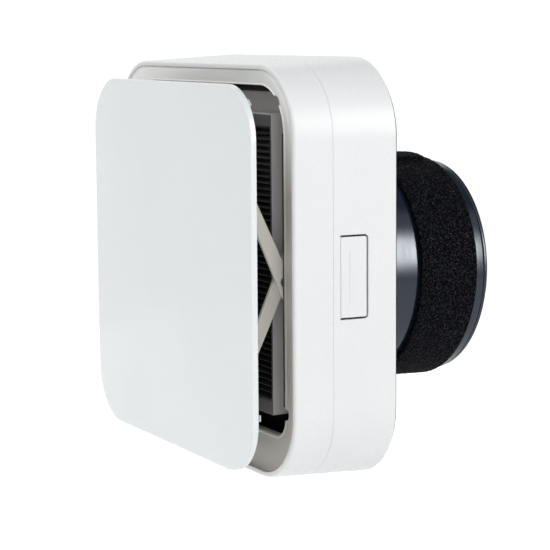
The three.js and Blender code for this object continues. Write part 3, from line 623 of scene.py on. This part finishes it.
# ---------------------------------------------------------------- housing shells
front = shell([
    (SEAM_DEPTH, 0, 0.15), (0, 0, 2.6), (0, LIP_WIDTH, 0.9), (3, LIP_WIDTH, 0.2),
    (3, SHELL_WALL, 0), (SEAM_DEPTH, SHELL_WALL, 0.3)], 6)
place("front_cover_shell", front, in_housing, "shell_white", "housing", "front_cover")

BACK_RIM_FRONT = 65.9            # rim inside the rear shell, in front of the back plate
BACK_RIM_REAR = 68.3
BACK_RIM_WIDTH = 16
TAB_FRONT = 31.6
TAB_REAR = 49.4
TAB_HALF = 25
TAB_SLOT = 1.2
TAB_ROOT_GAP = 0.3
TAB_CORNER = 1.6
WINDOW_SPAN = (120, 140)         # cuts right through the shell's side


def tab_outline(front_edge, rear_edge, half, radius):
    """A tab in (depth, z) with rounded corners at its free end."""
    return rounded([(front_edge, half, 0), (front_edge, -half, 0),
                    (rear_edge, -half, radius), (rear_edge, half, radius)], 6)


rear = shell([
    (SEAM_DEPTH + SEAM_GAP, SHELL_WALL, 0.3), (SEAM_DEPTH + SEAM_GAP, 0, 0.15),
    (BODY_DEPTH, 0, 0.5), (BODY_DEPTH, SHELL_WALL, 0.2), (BACK_RIM_REAR, SHELL_WALL, 0),
    (BACK_RIM_REAR, BACK_RIM_WIDTH, 0.3), (BACK_RIM_FRONT, BACK_RIM_WIDTH, 0.3),
    (BACK_RIM_FRONT, SHELL_WALL, 0)])
slot = tab_outline(TAB_FRONT - TAB_ROOT_GAP, TAB_REAR + TAB_SLOT, TAB_HALF + TAB_SLOT,
                   TAB_CORNER + TAB_SLOT)
windows = [prism(slot, WINDOW_SPAN, "x"), prism(slot, tuple(-x for x in reversed(WINDOW_SPAN)), "x")]
place("rear_housing_shell", cut(rear, *windows), in_housing, "shell_white", "housing", "rear_shell")

RIDGE_DEPTH = 38.5
RIDGE_HALF = 16
RIDGE_WIDTH = 1.8
RIDGE_ROUND = 0.6
RIDGE_SPAN = (-0.5, 0.22)        # from inside the tab's face to above it
NIB = ((126.5, 130.5), (44, 48), (-6, 6))


def on_side(outline, span, width):
    """A plate with an outline in (depth, z) laid on the housing's slanting side."""
    plate = ease(prism(outline, span, "x"), width)
    for v in plate.verts:
        v.co.x += side_x(v.co.y)
    return plate


def latch(side):
    """The release tab with a finger ridge on its face and a nib behind it."""
    plate = on_side(tab_outline(TAB_FRONT, TAB_REAR, TAB_HALF, TAB_CORNER), (-SHELL_WALL, 0), 0.22)
    low, high = RIDGE_DEPTH - RIDGE_WIDTH / 2, RIDGE_DEPTH + RIDGE_WIDTH / 2
    ridge = on_side(rounded([(low, -RIDGE_HALF, RIDGE_ROUND), (high, -RIDGE_HALF, RIDGE_ROUND),
                             (high, RIDGE_HALF, RIDGE_ROUND), (low, RIDGE_HALF, RIDGE_ROUND)]),
                    RIDGE_SPAN, 0.2)
    return flipped(join(plate, ridge, block(*NIB, 0.4)), side)


for side, hand in ((1, "right"), (-1, "left")):
    place(f"release_tab_{hand}", latch(side), in_housing, "shell_white", f"latch_{hand}",
          f"side_latch_{hand}")


# ---------------------------------------------------------------- bezel
BEZEL_GAP = 0.05
BEZEL_BACK = 7.8
BEZEL_FOOT = 9.6                 # the bezel's inner edge reaches this far back
BEZEL_TURN = 1.8
SHALLOW_FROM = 70
SHALLOW_RISE = 35
NOTCH_CUT = (-3, 13)
NOTCH_STEPS = 40


def open_loop(grow, y):
    return rounded_loop(OPEN_HALF + grow, OPEN_TOP + grow, OPEN_BOTTOM - grow,
                        BEZEL_TOP_CORNER + grow, BEZEL_LOW_CORNER + grow, y)


def bezel_outer(y):
    half = BODY_HALF - LIP_WIDTH - BEZEL_GAP
    corner = CORNER_FRONT - LIP_WIDTH - BEZEL_GAP
    return rounded_loop(half, half, -half, corner, corner, y)


def dish_depth(t, z):
    """Steep beside the lip, from 0 at the opening to 1 at the lip, but shallower along the top."""
    steep = math.sqrt(max(0, 1 - t ** 3))
    shallow = (1 - t) ** 0.6
    top = min(max((z - SHALLOW_FROM) / SHALLOW_RISE, 0), 1)
    return BEZEL_RIM + (OPEN_DEPTH - BEZEL_RIM) * (steep + (shallow - steep) * top)


def dish_loop(t, lift=0.0):
    loop = []
    for p, q in zip(open_loop(0, 0), bezel_outer(0)):
        x, _, z = (a + (b - a) * t for a, b in zip(p, q))
        loop.append((x, dish_depth(t, z) - lift, z))
    return loop


# Steps across the dish, closer where it curves more, and then up and over its rolled edge.
DISH = (1, 0.995, 0.985, 0.97, 0.94, 0.9, 0.85, 0.78, 0.7, 0.6, 0.5, 0.4, 0.3, 0.2, 0.13)
ROLLED_EDGE = ((0.10, 0.1), (0.085, 0.45), (0.06, 0.65), (0.03, 0.6), (0.008, 0.4), (0, 0))
bezel = hoop(
    [dish_loop(t) for t in DISH] + [dish_loop(t, lift) for t, lift in ROLLED_EDGE]
    + [open_loop(0, BEZEL_FOOT - 0.3), open_loop(0.3, BEZEL_FOOT), open_loop(BEZEL_TURN, BEZEL_FOOT),
       open_loop(BEZEL_TURN, BEZEL_BACK), bezel_outer(BEZEL_BACK)])


def notch(x, z, radius):
    """A round cutter through the bezel's edge."""
    angles = [TAU * i / NOTCH_STEPS for i in range(NOTCH_STEPS)]
    return prism([(x + radius * math.cos(a), z + radius * math.sin(a)) for a in angles], NOTCH_CUT, "y")


notches = [notch(s * x, z, radius) for s in (1, -1) for x, z, radius, _ in NOTCHES]
place("dished_bezel", cut(bezel, *notches), in_housing, "bezel_grey", "housing", "bezel_ring")


# ---------------------------------------------------------------- front panel
def panel_face(x, z):
    spread = (x / PANEL_HALF_W) ** 2 + (z / PANEL_HALF_H) ** 2
    return PANEL_FACE - PANEL_DOME * (2 - spread)


def panel_loop(inset, scale=1.0, depth=None, behind=0.0):
    loop = rounded_loop(PANEL_HALF_W - inset, PANEL_HALF_H - inset, inset - PANEL_HALF_H,
                        PANEL_CORNER - inset, PANEL_CORNER - inset, 0)
    out = []
    for x, _, z in loop:
        x *= scale
        z *= scale
        out.append((x, panel_face(x, z) + behind if depth is None else depth, z + PANEL_DROP))
    return out


EDGE_RADIUS = 0.9
PANEL_WALL = 2.4
PANEL_RIM = 2.6
LINER_INSET = 3
LINER_THICK = 1.4
FACE_RINGS = (0.02, 0.1, 0.2, 0.3, 0.4, 0.5, 0.6, 0.7, 0.8, 0.88, 0.94, 0.98)
BACK_RINGS = (0.8, 0.5, 0.2, 0.02)
edge = [panel_loop(EDGE_RADIUS * (1 - math.sin(a)), behind=EDGE_RADIUS * (1 - math.cos(a)))
        for a in (math.radians(90 * i / 7) for i in range(8))]
panel = loft(
    [panel_loop(EDGE_RADIUS, s) for s in FACE_RINGS] + edge
    + [panel_loop(0, depth=PANEL_REAR - 0.5), panel_loop(0.15, depth=PANEL_REAR - 0.15),
       panel_loop(0.5, depth=PANEL_REAR), panel_loop(PANEL_RIM, depth=PANEL_REAR)]
    + [panel_loop(PANEL_RIM, s, behind=PANEL_WALL) for s in (1, *BACK_RINGS)])
place("domed_front_panel", panel, in_housing, "panel_white", "panel", "front_panel")

liner = ease(loft([panel_loop(LINER_INSET, depth=PANEL_REAR - LINER_THICK),
                   panel_loop(LINER_INSET, depth=PANEL_REAR)]), 0.3)

CLIP_REACH = 6.2
CLIP_HALF = 2
RIB_HALF = 0.6
RIB_ROWS = (-70, -20, 30, 80)
RIB_COLUMNS = (-60, 0, 60)


def clip(x, z, facing):
    """A hooked clip on the panel's back, with a slanted lead-in."""
    tip = PANEL_REAR + CLIP_REACH
    shape = rounded([(-0.2, PANEL_REAR - 0.8, 0), (1.4, PANEL_REAR - 0.8, 0), (1.4, tip - 1.7, 0.2),
                     (2.6, tip - 1.6, 0.2), (1.6, tip, 0.4), (-0.2, tip, 0.3)], 3)
    hook = mesh_of([(a, b, h) for h in (-CLIP_HALF, CLIP_HALF) for a, b in shape],
                   band(0, len(shape), len(shape))
                   + [tuple(range(len(shape))), tuple(reversed(range(len(shape), 2 * len(shape))))])
    ease(hook, 0.18)
    hook.transform(Matrix.Translation((x, 0, z)) @ Matrix.Rotation(-facing, 4, "Y"))
    return hook


def rib(x, z):
    return block(x, (PANEL_REAR - 0.2, PANEL_REAR + 0.9), z, 0.25)


clips = [flipped(clip(x, z, facing), s) for s in (1, -1) for x, z, _, facing in NOTCHES]
ribs = [rib((RIB_COLUMNS[0], RIB_COLUMNS[-1]), (z - RIB_HALF, z + RIB_HALF)) for z in RIB_ROWS]
ribs += [rib((x - RIB_HALF, x + RIB_HALF), (RIB_ROWS[0], RIB_ROWS[-1])) for x in RIB_COLUMNS]
place("panel_back_liner", join(liner, *clips, *ribs), in_housing, "panel_white", "panel", "panel_liner")


# ---------------------------------------------------------------- scissor arms and rails
FRONT_PIVOT = ARM_CENTRE[0] - ARM_REACH
REAR_PIVOT = ARM_CENTRE[0] + ARM_REACH
LOW_PIVOT = ARM_CENTRE[1] - ARM_RISE
HIGH_PIVOT = ARM_CENTRE[1] + ARM_RISE


ARM_THICK = 3
PIN_RADIUS = 2
PIN_HOLE = 2.4
PIN_SPAN = (95.7, 104.8)
PIN_HEAD_RADIUS = 3.4
PIN_HEAD_SPAN = (104.3, 105)
PIN_FOOT_RADIUS = 3
PIN_FOOT_SPAN = (95, 96.2)
BOSS_RADIUS = 2.2
OUTER_ARM_X = 101
INNER_ARM_X = 96.5
BOSS_FREE_X = 92.6               # inner end of the bosses in the panel's rails
BOSS_WALL_X = 108                # outer end of the bosses in the body's rails
END_STEPS = 14
SIDE_STEPS = 12
ROD_STEPS = 28


def bar_outline(a, b, radius, middle):
    """A bar with round ends in (y, z) from one pivot to the other, swelling softly midway."""
    heading = math.atan2(b[1] - a[1], b[0] - a[0])
    along = Vector((math.cos(heading), math.sin(heading)))
    across = Vector((-along.y, along.x))
    length = math.dist(a, b)
    points = []
    for centre, start, sign in ((b, -math.pi / 2, 1), (a, math.pi / 2, -1)):
        for i in range(END_STEPS + 1):
            angle = heading + start + math.pi * i / END_STEPS
            points.append((centre[0] + radius * math.cos(angle), centre[1] + radius * math.sin(angle)))
        for i in range(1, SIDE_STEPS):
            t = i / SIDE_STEPS
            wide = radius + (middle - radius) * math.sin(math.pi * t) ** 2
            spot = Vector(centre) - along * (sign * t * length) + across * (sign * wide)
            points.append((spot.x, spot.y))
    return points


def rod_x(radius, span, y, z):
    """A round rod across the unit."""
    angles = [TAU * i / ROD_STEPS for i in range(ROD_STEPS)]
    return prism([(y + radius * math.cos(a), z + radius * math.sin(a)) for a in angles], span, "x")


def arm(x0, pivot, slider, pivot_span, slider_span):
    """A flat arm with a hole for the centre pin and a boss at each end."""
    outline = bar_outline(pivot, slider, ARM_END_RADIUS, ARM_HALF_WIDTH)
    flat = ease(prism(outline, (x0, x0 + ARM_THICK), "x"), 0.55, 3)
    flat = cut(flat, rod_x(PIN_HOLE, (x0 - 1, x0 + ARM_THICK + 1), *ARM_CENTRE))
    bosses = [ease(rod_x(BOSS_RADIUS, span, *end), 0.3)
              for span, end in ((pivot_span, pivot), (slider_span, slider))]
    return join(flat, *bosses)


for side, hand in ((1, "right"), (-1, "left")):
    outer_arm = arm(OUTER_ARM_X, (REAR_PIVOT, LOW_PIVOT), (FRONT_PIVOT, HIGH_PIVOT),
                    (OUTER_ARM_X + 1, BOSS_WALL_X), (BOSS_FREE_X, OUTER_ARM_X + 1))
    place(f"outer_arm_bar_{hand}", flipped(outer_arm, side), in_housing, "arm_ivory",
          f"arm_outer_{hand}", f"arm_outer_{hand}")
    inner_arm = arm(INNER_ARM_X, (FRONT_PIVOT, LOW_PIVOT), (REAR_PIVOT, HIGH_PIVOT),
                    (BOSS_FREE_X, INNER_ARM_X + 1), (INNER_ARM_X + 1, BOSS_WALL_X))
    place(f"inner_arm_bar_{hand}", flipped(inner_arm, side), in_housing, "arm_ivory",
          f"arm_inner_{hand}", f"arm_inner_{hand}")
    pin = [ease(rod_x(PIN_RADIUS, PIN_SPAN, *ARM_CENTRE), 0.1, 1),
           ease(rod_x(PIN_HEAD_RADIUS, PIN_HEAD_SPAN, *ARM_CENTRE), 0.25, 3),
           ease(rod_x(PIN_FOOT_RADIUS, PIN_FOOT_SPAN, *ARM_CENTRE), 0.2)]
    place(f"arm_pin_{hand}", flipped(join(*pin), side), in_housing, "steel",
          f"arm_outer_{hand}", f"centre_pin_{hand}")


# ---------------------------------------------------------------- filter cassette
CASSETTE_EDGE = 0.4
PULL_X = 45                      # finger pulls on the frame's top bar
PULL_HALF = 14
PULL_DEPTH = (4.9, 7)
PULL_HEIGHT = (92.6, 97.6)


def frame_loop(outline, grow, y, corner):
    half, top, bottom = outline
    return rounded_loop(half + grow, top + grow, bottom - grow, corner, corner, y, 4)


cassette = hoop([
    frame_loop(CASSETTE, -CASSETTE_EDGE, CASSETTE_FRONT, 0.8),
    frame_loop(CASSETTE, 0, CASSETTE_FRONT + CASSETTE_EDGE, 1.2),
    frame_loop(CASSETTE, 0, CASSETTE_REAR - CASSETTE_EDGE, 1.2),
    frame_loop(CASSETTE, -CASSETTE_EDGE, CASSETTE_REAR, 0.8),
    frame_loop(CASSETTE_WINDOW, CASSETTE_EDGE, CASSETTE_REAR, 0.6),
    frame_loop(CASSETTE_WINDOW, 0, CASSETTE_REAR - CASSETTE_EDGE, 0.4),
    frame_loop(CASSETTE_WINDOW, 0, CASSETTE_FRONT + 0.5, 0.4),
    frame_loop(CASSETTE_WINDOW, 0.5, CASSETTE_FRONT, 0.6)])
pulls = [block((x - PULL_HALF, x + PULL_HALF), PULL_DEPTH, PULL_HEIGHT, 0.6, 3)
         for x in (-PULL_X, PULL_X)]
place("cassette_frame", join(cassette, *pulls), in_housing, "frame_grey", "housing", "filter_frame")

PLEATS = 44
PLEAT_DEPTH = 6.4
PLEAT_MARGIN = 0.3               # between the fleece and the frame's window
PLEAT_STRIPS = 24
PLEAT_WAVE = 0.12
SHEET = 1.2


def pleated_sheet():
    """A zigzag of fleece with softly rounded folds, waved a little along its width."""
    half, top, bottom = CASSETTE_WINDOW
    half -= PLEAT_MARGIN
    low = bottom + PLEAT_MARGIN
    pitch = (top - bottom - 2 * PLEAT_MARGIN) / PLEATS
    corners = [(PLEAT_FRONT + (PLEAT_DEPTH if i % 2 else 0), low + pitch / 2 * i, 0.35)
               for i in range(2 * PLEATS + 1)]
    outline = rounded(corners, 3, closed=False)
    columns = [-half + 2 * half * i / PLEAT_STRIPS for i in range(PLEAT_STRIPS + 1)]
    front_side = []
    back_side = []
    for x in columns:
        for y, z in outline:
            wave = PLEAT_WAVE * noise.noise(Vector((x * 0.05, z * 0.4, 3)))
            front_side.append((x, y + wave, z))
            back_side.append((x, y + wave + SHEET, z))
    rows = len(outline)
    total = rows * len(columns)
    faces = []
    for i in range(PLEAT_STRIPS):
        for j in range(rows - 1):
            a, b = i * rows + j, (i + 1) * rows + j
            faces.append((a, b, b + 1, a + 1))
            faces.append((total + a, total + a + 1, total + b + 1, total + b))
        for j, flip in ((0, False), (rows - 1, True)):
            a, b = i * rows + j, (i + 1) * rows + j
            quad = (a, total + a, total + b, b)
            faces.append(tuple(reversed(quad)) if flip else quad)
    for i, flip in ((0, True), (PLEAT_STRIPS, False)):
        for j in range(rows - 1):
            a = i * rows + j
            quad = (a, total + a, total + a + 1, a + 1)
            faces.append(tuple(reversed(quad)) if flip else quad)
    return mesh_of(front_side + back_side, faces)


place("pleated_fleece", pleated_sheet(), in_housing, "filter_media", "housing", "pleated_filter", crease=60)


# ---------------------------------------------------------------- softened copies of CAD nodes
def softened(node, name, look, body, width):
    """A copy of a CAD node's shape with eased edges."""
    source = frame["nodes"][node]
    bm = bmesh.new()
    bm.from_mesh(source.data)
    bm.transform(source.matrix_world)
    for v in bm.verts:
        v.co /= MM
    ease(bm, width)
    place(name, bm, lambda p: p * MM, look, body, node)


softened("inner_casing", "casing_box", "casing_grey", "housing", 0.5)
softened("back_plate", "wall_plate", "zinc_plate", "housing", 0.3)
softened("control_box", "control_case", "black_plastic", "housing", 0.5)
softened("control_lid", "control_case_lid", "black_plastic", "housing", 0.5)
softened("cable_gland", "cable_entry", "black_plastic", "housing", 0.5)
for hand in ("right", "left"):
    softened(f"panel_rail_{hand}", f"front_rail_{hand}", "arm_ivory", "panel", 0.3)
    softened(f"body_rail_{hand}", f"rear_rail_{hand}", "black_plastic", "housing", 0.3)


# ---------------------------------------------------------------- gasket, duct, foam, end ring
GASKET_FRONT = BODY_DEPTH + 0.3
gasket = shell([(WALL_OFFSET, GASKET_INSET, 0.3), (GASKET_FRONT, GASKET_INSET, 0.3),
                (GASKET_FRONT, GASKET_INNER, 0.3), (WALL_OFFSET, GASKET_INNER, 0.3)], 3)
place("foam_gasket", gasket, in_housing, "black_foam", "housing", "wall_gasket")


DUCT_START = -5.2
FLANGE_SPAN = (-5.9, -3.6)


def pipe():
    """The pipe with its collar at the far end, and a flange that stands parallel to the wall."""
    tube = turned(rounded([
        (DUCT_INNER, DUCT_START, 0.2), (DUCT_OUTER, DUCT_START, 0), (DUCT_OUTER, COLLAR_START, 0.1),
        (COLLAR_RADIUS, COLLAR_START, 0.4), (COLLAR_RADIUS, DUCT_END, 0.8), (DUCT_INNER, DUCT_END, 0.5)]))
    near, far = FLANGE_SPAN
    flange = turned(rounded([(DUCT_INNER + 0.4, near, 0.3), (FLANGE_RADIUS, near, 0.4),
                             (FLANGE_RADIUS, far, 0.4), (DUCT_INNER + 0.4, far, 0.3)]))
    for v in flange.verts:
        v.co = Matrix.Rotation(DUCT_FALL, 3, "X") @ v.co
    return join(tube, flange)


place("glossy_duct", pipe(), in_duct, "black_gloss", "housing", "duct_pipe")


LAP_ANGLE = math.radians(14)     # half of the lap's width round the pipe
LAP_STEPS = 40
LAP_LEAN = 0.01                  # how far the lap's cut ends lean outwards, in radians
FOAM_STEPS = 440
FOAM_ROWS = 40
FOAM_MARGIN = 1.2
PIT_DEPTH = 0.28
DENT_DEPTH = 0.22


def foam_strip():
    """Foam wound once round the pipe, its cut end lapped over the start, pitted all over."""
    up = math.pi / 2
    around = []
    for i in range(FOAM_STEPS):
        angle = up + LAP_ANGLE + (TAU - 2 * LAP_ANGLE) * i / FOAM_STEPS
        around.append((angle, FOAM_OUTER))
    for i in range(LAP_STEPS + 1):
        near_end = min(i, LAP_STEPS - i)
        angle = up - LAP_ANGLE + 2 * LAP_ANGLE * i / LAP_STEPS
        if near_end == 1:
            angle += math.copysign(LAP_LEAN, i - LAP_STEPS / 2)
        lift = FOAM_LAP * min(1.0, 0.9 * near_end)
        around.append((angle, FOAM_OUTER + lift))
    inside = FOAM_END - FOAM_START - 2 * FOAM_MARGIN
    length = [FOAM_START, FOAM_START + 0.4]
    length += [FOAM_START + FOAM_MARGIN + inside * i / FOAM_ROWS for i in range(FOAM_ROWS + 1)]
    length += [FOAM_END - 0.4, FOAM_END]
    length = sorted(length + [LAP_END, LAP_END + 0.2])
    loops = []
    for y in length:
        edge_in = 0.45 if y in (FOAM_START, FOAM_END) else (0.1 if y in (length[1], length[-2]) else 0)
        loop = []
        for angle, radius in around:
            if y > LAP_END:
                radius = FOAM_OUTER
            spot = Vector((math.cos(angle) * radius, y, math.sin(angle) * radius))
            pit = noise.noise(spot * 0.9) * PIT_DEPTH
            pit += noise.noise(spot * 0.35 + Vector((7, 0, 0))) * DENT_DEPTH
            r = min(radius - edge_in + pit, radius + 0.3) - 0.15
            loop.append((math.cos(angle) * r, y, math.sin(angle) * r))
        loops.append(loop)
    inner = DUCT_OUTER + 0.3
    for y in (FOAM_END, FOAM_START):
        loops.append([(math.cos(angle) * inner, y, math.sin(angle) * inner) for angle, _ in around])
    return hoop(loops)


place("foam_strip", foam_strip(), in_duct, "black_foam", "housing", "foam_wrap", crease=70)

RING_START = 94
RING_SEAT = 98                   # the screen rests here
RING_OUTER = 73.9
RING_MOUTH = 63.5
RING_BORE = 61.5
spigot = DUCT_INNER - 0.4
end = turned(rounded([
    (RING_BORE, RING_START, 0.3), (spigot, RING_START, 0.3), (spigot, DUCT_END + 0.3, 0),
    (RING_OUTER, DUCT_END + 0.3, 0.7), (RING_OUTER, RING_END, 0.8), (RING_MOUTH, RING_END, 0.6),
    (RING_MOUTH, RING_SEAT, 0.2), (RING_BORE, RING_SEAT, 0.3)]))
place("duct_end_ring", end, in_duct, "black_gloss", "housing", "end_ring")


SCREEN_FRONT = 98.3
SCREEN_INNER = 60
SCREEN_OUTER = 63.1
SCREEN_THICK = 2
SCREEN_PITCH = 4.0
WIRE_RADIUS = 0.45
WIRE_WAVE = 0.4
WIRE_SIDES = 6


def woven_screen():
    """A rim with a woven grid of round wires."""
    rear_face = SCREEN_FRONT + SCREEN_THICK
    middle = SCREEN_FRONT + SCREEN_THICK / 2
    parts = [turned(rounded([(SCREEN_INNER, SCREEN_FRONT, 0.3), (SCREEN_OUTER, SCREEN_FRONT, 0.3),
                             (SCREEN_OUTER, rear_face, 0.3), (SCREEN_INNER, rear_face, 0.3)]), 96)]
    count = int(SCREEN_INNER // SCREEN_PITCH)
    for k in range(-count, count + 1):
        offset = k * SCREEN_PITCH
        reach = math.sqrt((SCREEN_INNER + 0.6) ** 2 - offset ** 2)
        steps = max(4, int(2 * reach // 2))
        for upright in (False, True):
            loops = []
            for i in range(steps + 1):
                along = -reach + 2 * reach * i / steps
                phase = math.pi * (along / SCREEN_PITCH) + (math.pi if (k % 2) != upright else 0)
                centre_y = middle + WIRE_WAVE * math.sin(phase)
                loop = []
                for a in range(WIRE_SIDES):
                    u = offset + WIRE_RADIUS * math.cos(TAU * a / WIRE_SIDES)
                    v = centre_y + WIRE_RADIUS * math.sin(TAU * a / WIRE_SIDES)
                    loop.append((u, v, along) if upright else (along, v, u))
                loops.append(loop)
            parts.append(loft(loops))
    return join(*parts)


place("woven_insect_screen", woven_screen(), in_duct, "black_plastic", "housing", "insect_screen")


CORE_SKIN = 2.4
CELL_PITCH = 3.0
CELL_WALL_HALF = 0.28
CELL_WALLS = 19                  # on each side of the middle one


def honeycomb():
    """A ceramic block of square channels inside a plain skin."""
    skin = CORE_RADIUS - CORE_SKIN
    parts = [turned(rounded([(skin, CORE_START, 0.3), (CORE_RADIUS, CORE_START, 0.5),
                             (CORE_RADIUS, CORE_END, 0.5), (skin, CORE_END, 0.3)]))]
    span = (CORE_START + 0.3, CORE_END - 0.3)
    for k in range(-CELL_WALLS, CELL_WALLS + 1):
        offset = k * CELL_PITCH
        reach = math.sqrt((CORE_RADIUS - 1.5) ** 2 - offset ** 2)
        across = (offset - CELL_WALL_HALF, offset + CELL_WALL_HALF)
        along = (-reach, reach)
        parts += [bar(across, span, along), bar(along, span, across)]
    return join(*parts)


place("honeycomb_core", honeycomb(), in_duct, "ceramic", "housing", "heat_core")

# ---------------------------------------------------------------- carried-over CAD nodes
slots = {row["node"]: row["material_slot"] for row in frame["record"]["subparts"]}
for node, obj in frame["nodes"].items():
    if obj.type == "MESH":
        for material_slot in obj.material_slots:
            material_slot.material = LOOKS[slots[node]]


# ---------------------------------------------------------------- studio
WALLS = (((-1, 0, 0), 1.15), ((0, 1, 0), 0.35), ((0, 0, 1), 1.66))          # direction, power
BOXES = (((0.7, -0.3, 0.65), 0.6, 0.92, 0.68),                 # direction, edge, core, power
         ((-0.2, -1, 0.15), 0.75, 0.96, 1.35),
         ((0.3, -0.9, 0), 0.75, 0.96, 0.21))
FLAG = (-0.15, 0.6, 0.78)        # a dark flag over the duct
FLAG_EDGE = 0.8
FLAG_CORE = 0.93
FLAG_SHADE = 0.1
STRIP_NEAR = (0.42, 0.5)         # a strip light beside the duct
STRIP_FAR = (0.6, 0.68)
STRIP_RISE = math.radians(21)
STRIP_CORE = (0.79, 0.845)
STRIP_HALO = (0.74, 0.83)
STRIP_SPILL = 0.25
STRIP_POWER = 18
SWEEP = 1.05                     # the pale paper, from the floor to just over the horizon
SWEEP_TOP = (0.022, 0.05)
FLOOR_HALF = 1                   # metres, as is the height
FLOOR_HEIGHT = -0.2
FLOOR_GLOW = 0.33
PAPER_DARK = (0.84, 0.84, 0.84)
PAPER_LIGHT = (0.86, 0.86, 0.86)


class Sky:
    """The studio's light by direction: x to the right, y into the wall, z up."""

    def __init__(self):
        world = bpy.data.worlds.new("studio")
        world.use_nodes = True
        self.tree = world.node_tree
        background = self.tree.nodes["Background"]
        background.inputs["Color"].default_value = (1, 1, 1, 1)
        self.output = background.inputs["Strength"]
        self.place = self.tree.nodes.new("ShaderNodeTexCoord").outputs["Generated"]
        bpy.context.scene.world = world

    def towards(self, x, y, z):
        """How far a direction leans towards a fixed one, from -1 to 1."""
        node = self.tree.nodes.new("ShaderNodeVectorMath")
        node.operation = "DOT_PRODUCT"
        self.tree.links.new(self.place, node.inputs[0])
        node.inputs[1].default_value = Vector((x, y, z)).normalized()
        return node.outputs["Value"]

    def step(self, value, low, high, to_low, to_high):
        node = self.tree.nodes.new("ShaderNodeMapRange")
        node.interpolation_type = "SMOOTHSTEP"
        for key, number in (("From Min", low), ("From Max", high), ("To Min", to_low), ("To Max", to_high)):
            node.inputs[key].default_value = number
        self.tree.links.new(value, node.inputs["Value"])
        return node.outputs["Result"]

    def maths(self, operation, a, b):
        node = self.tree.nodes.new("ShaderNodeMath")
        node.operation = operation
        for socket, source in zip(node.inputs, (a, b)):
            if isinstance(source, (int, float)):
                socket.default_value = source
            else:
                self.tree.links.new(source, socket)
        return node.outputs["Value"]

    def lobe(self, direction, power):
        """The glow of one wall of the studio, which fades with the square of the lean."""
        lean = self.maths("MAXIMUM", self.towards(*direction), 0.0)
        return self.maths("MULTIPLY", self.maths("MULTIPLY", lean, lean), power)

    def total(self, *sources):
        result = sources[0]
        for source in sources[1:]:
            result = self.maths("ADD", result, source)
        return result

    def finish(self, source):
        self.tree.links.new(source, self.output)


def light_sky():
    """Soft walls and boxes of light, a dark flag over the duct and a strip light beside it."""
    sky = Sky()
    walls = [sky.lobe(direction, power) for direction, power in WALLS]
    boxes = [sky.step(sky.towards(*direction), edge, core, 0.0, power)
             for direction, edge, core, power in BOXES]
    across = sky.towards(0, 1, 0)
    near = sky.step(across, *STRIP_NEAR, 0.0, 1.0)
    far = sky.step(across, *STRIP_FAR, 1.0, 0.0)
    rise = sky.towards(math.cos(STRIP_RISE), 0, math.sin(STRIP_RISE))
    core = sky.step(rise, *STRIP_CORE, 0.0, STRIP_POWER)
    halo = sky.step(rise, *STRIP_HALO, 0.0, STRIP_POWER * STRIP_SPILL)
    strip = sky.maths("MULTIPLY", sky.maths("MULTIPLY", near, far), sky.total(core, halo))
    light = sky.total(*walls, *boxes)
    flag = sky.step(sky.towards(*FLAG), FLAG_EDGE, FLAG_CORE, 1.0, FLAG_SHADE)
    sweep = sky.step(sky.towards(0, 0, 1), *SWEEP_TOP, SWEEP, 0.0)
    room = sky.maths("MAXIMUM", sky.maths("MULTIPLY", light, flag), sweep)
    sky.finish(sky.maths("ADD", room, strip))


def lay_floor():
    """A plain pale floor that glows a little, as it is lit from all round."""
    floor = bmesh.new()
    bmesh.ops.create_grid(floor, x_segments=8, y_segments=8, size=FLOOR_HALF)
    data = bpy.data.meshes.new("studio_floor")
    floor.to_mesh(data)
    floor.free()
    s = Shader("studio_floor", 0.9)
    s.colour(s.colours(s.noise(3, 2), (0.3, PAPER_DARK), (0.7, PAPER_LIGHT)))
    s.set(Emission_Color=(1, 1, 1, 1), Emission_Strength=FLOOR_GLOW, Specular_IOR_Level=0.0)
    data.materials.append(s.material)
    obj = bpy.data.objects.new("studio_floor", data)
    obj.location = (0, 0, FLOOR_HEIGHT)
    bpy.context.scene.collection.objects.link(obj)


light_sky()
lay_floor()
bpy.context.scene.view_settings.view_transform = "Standard"
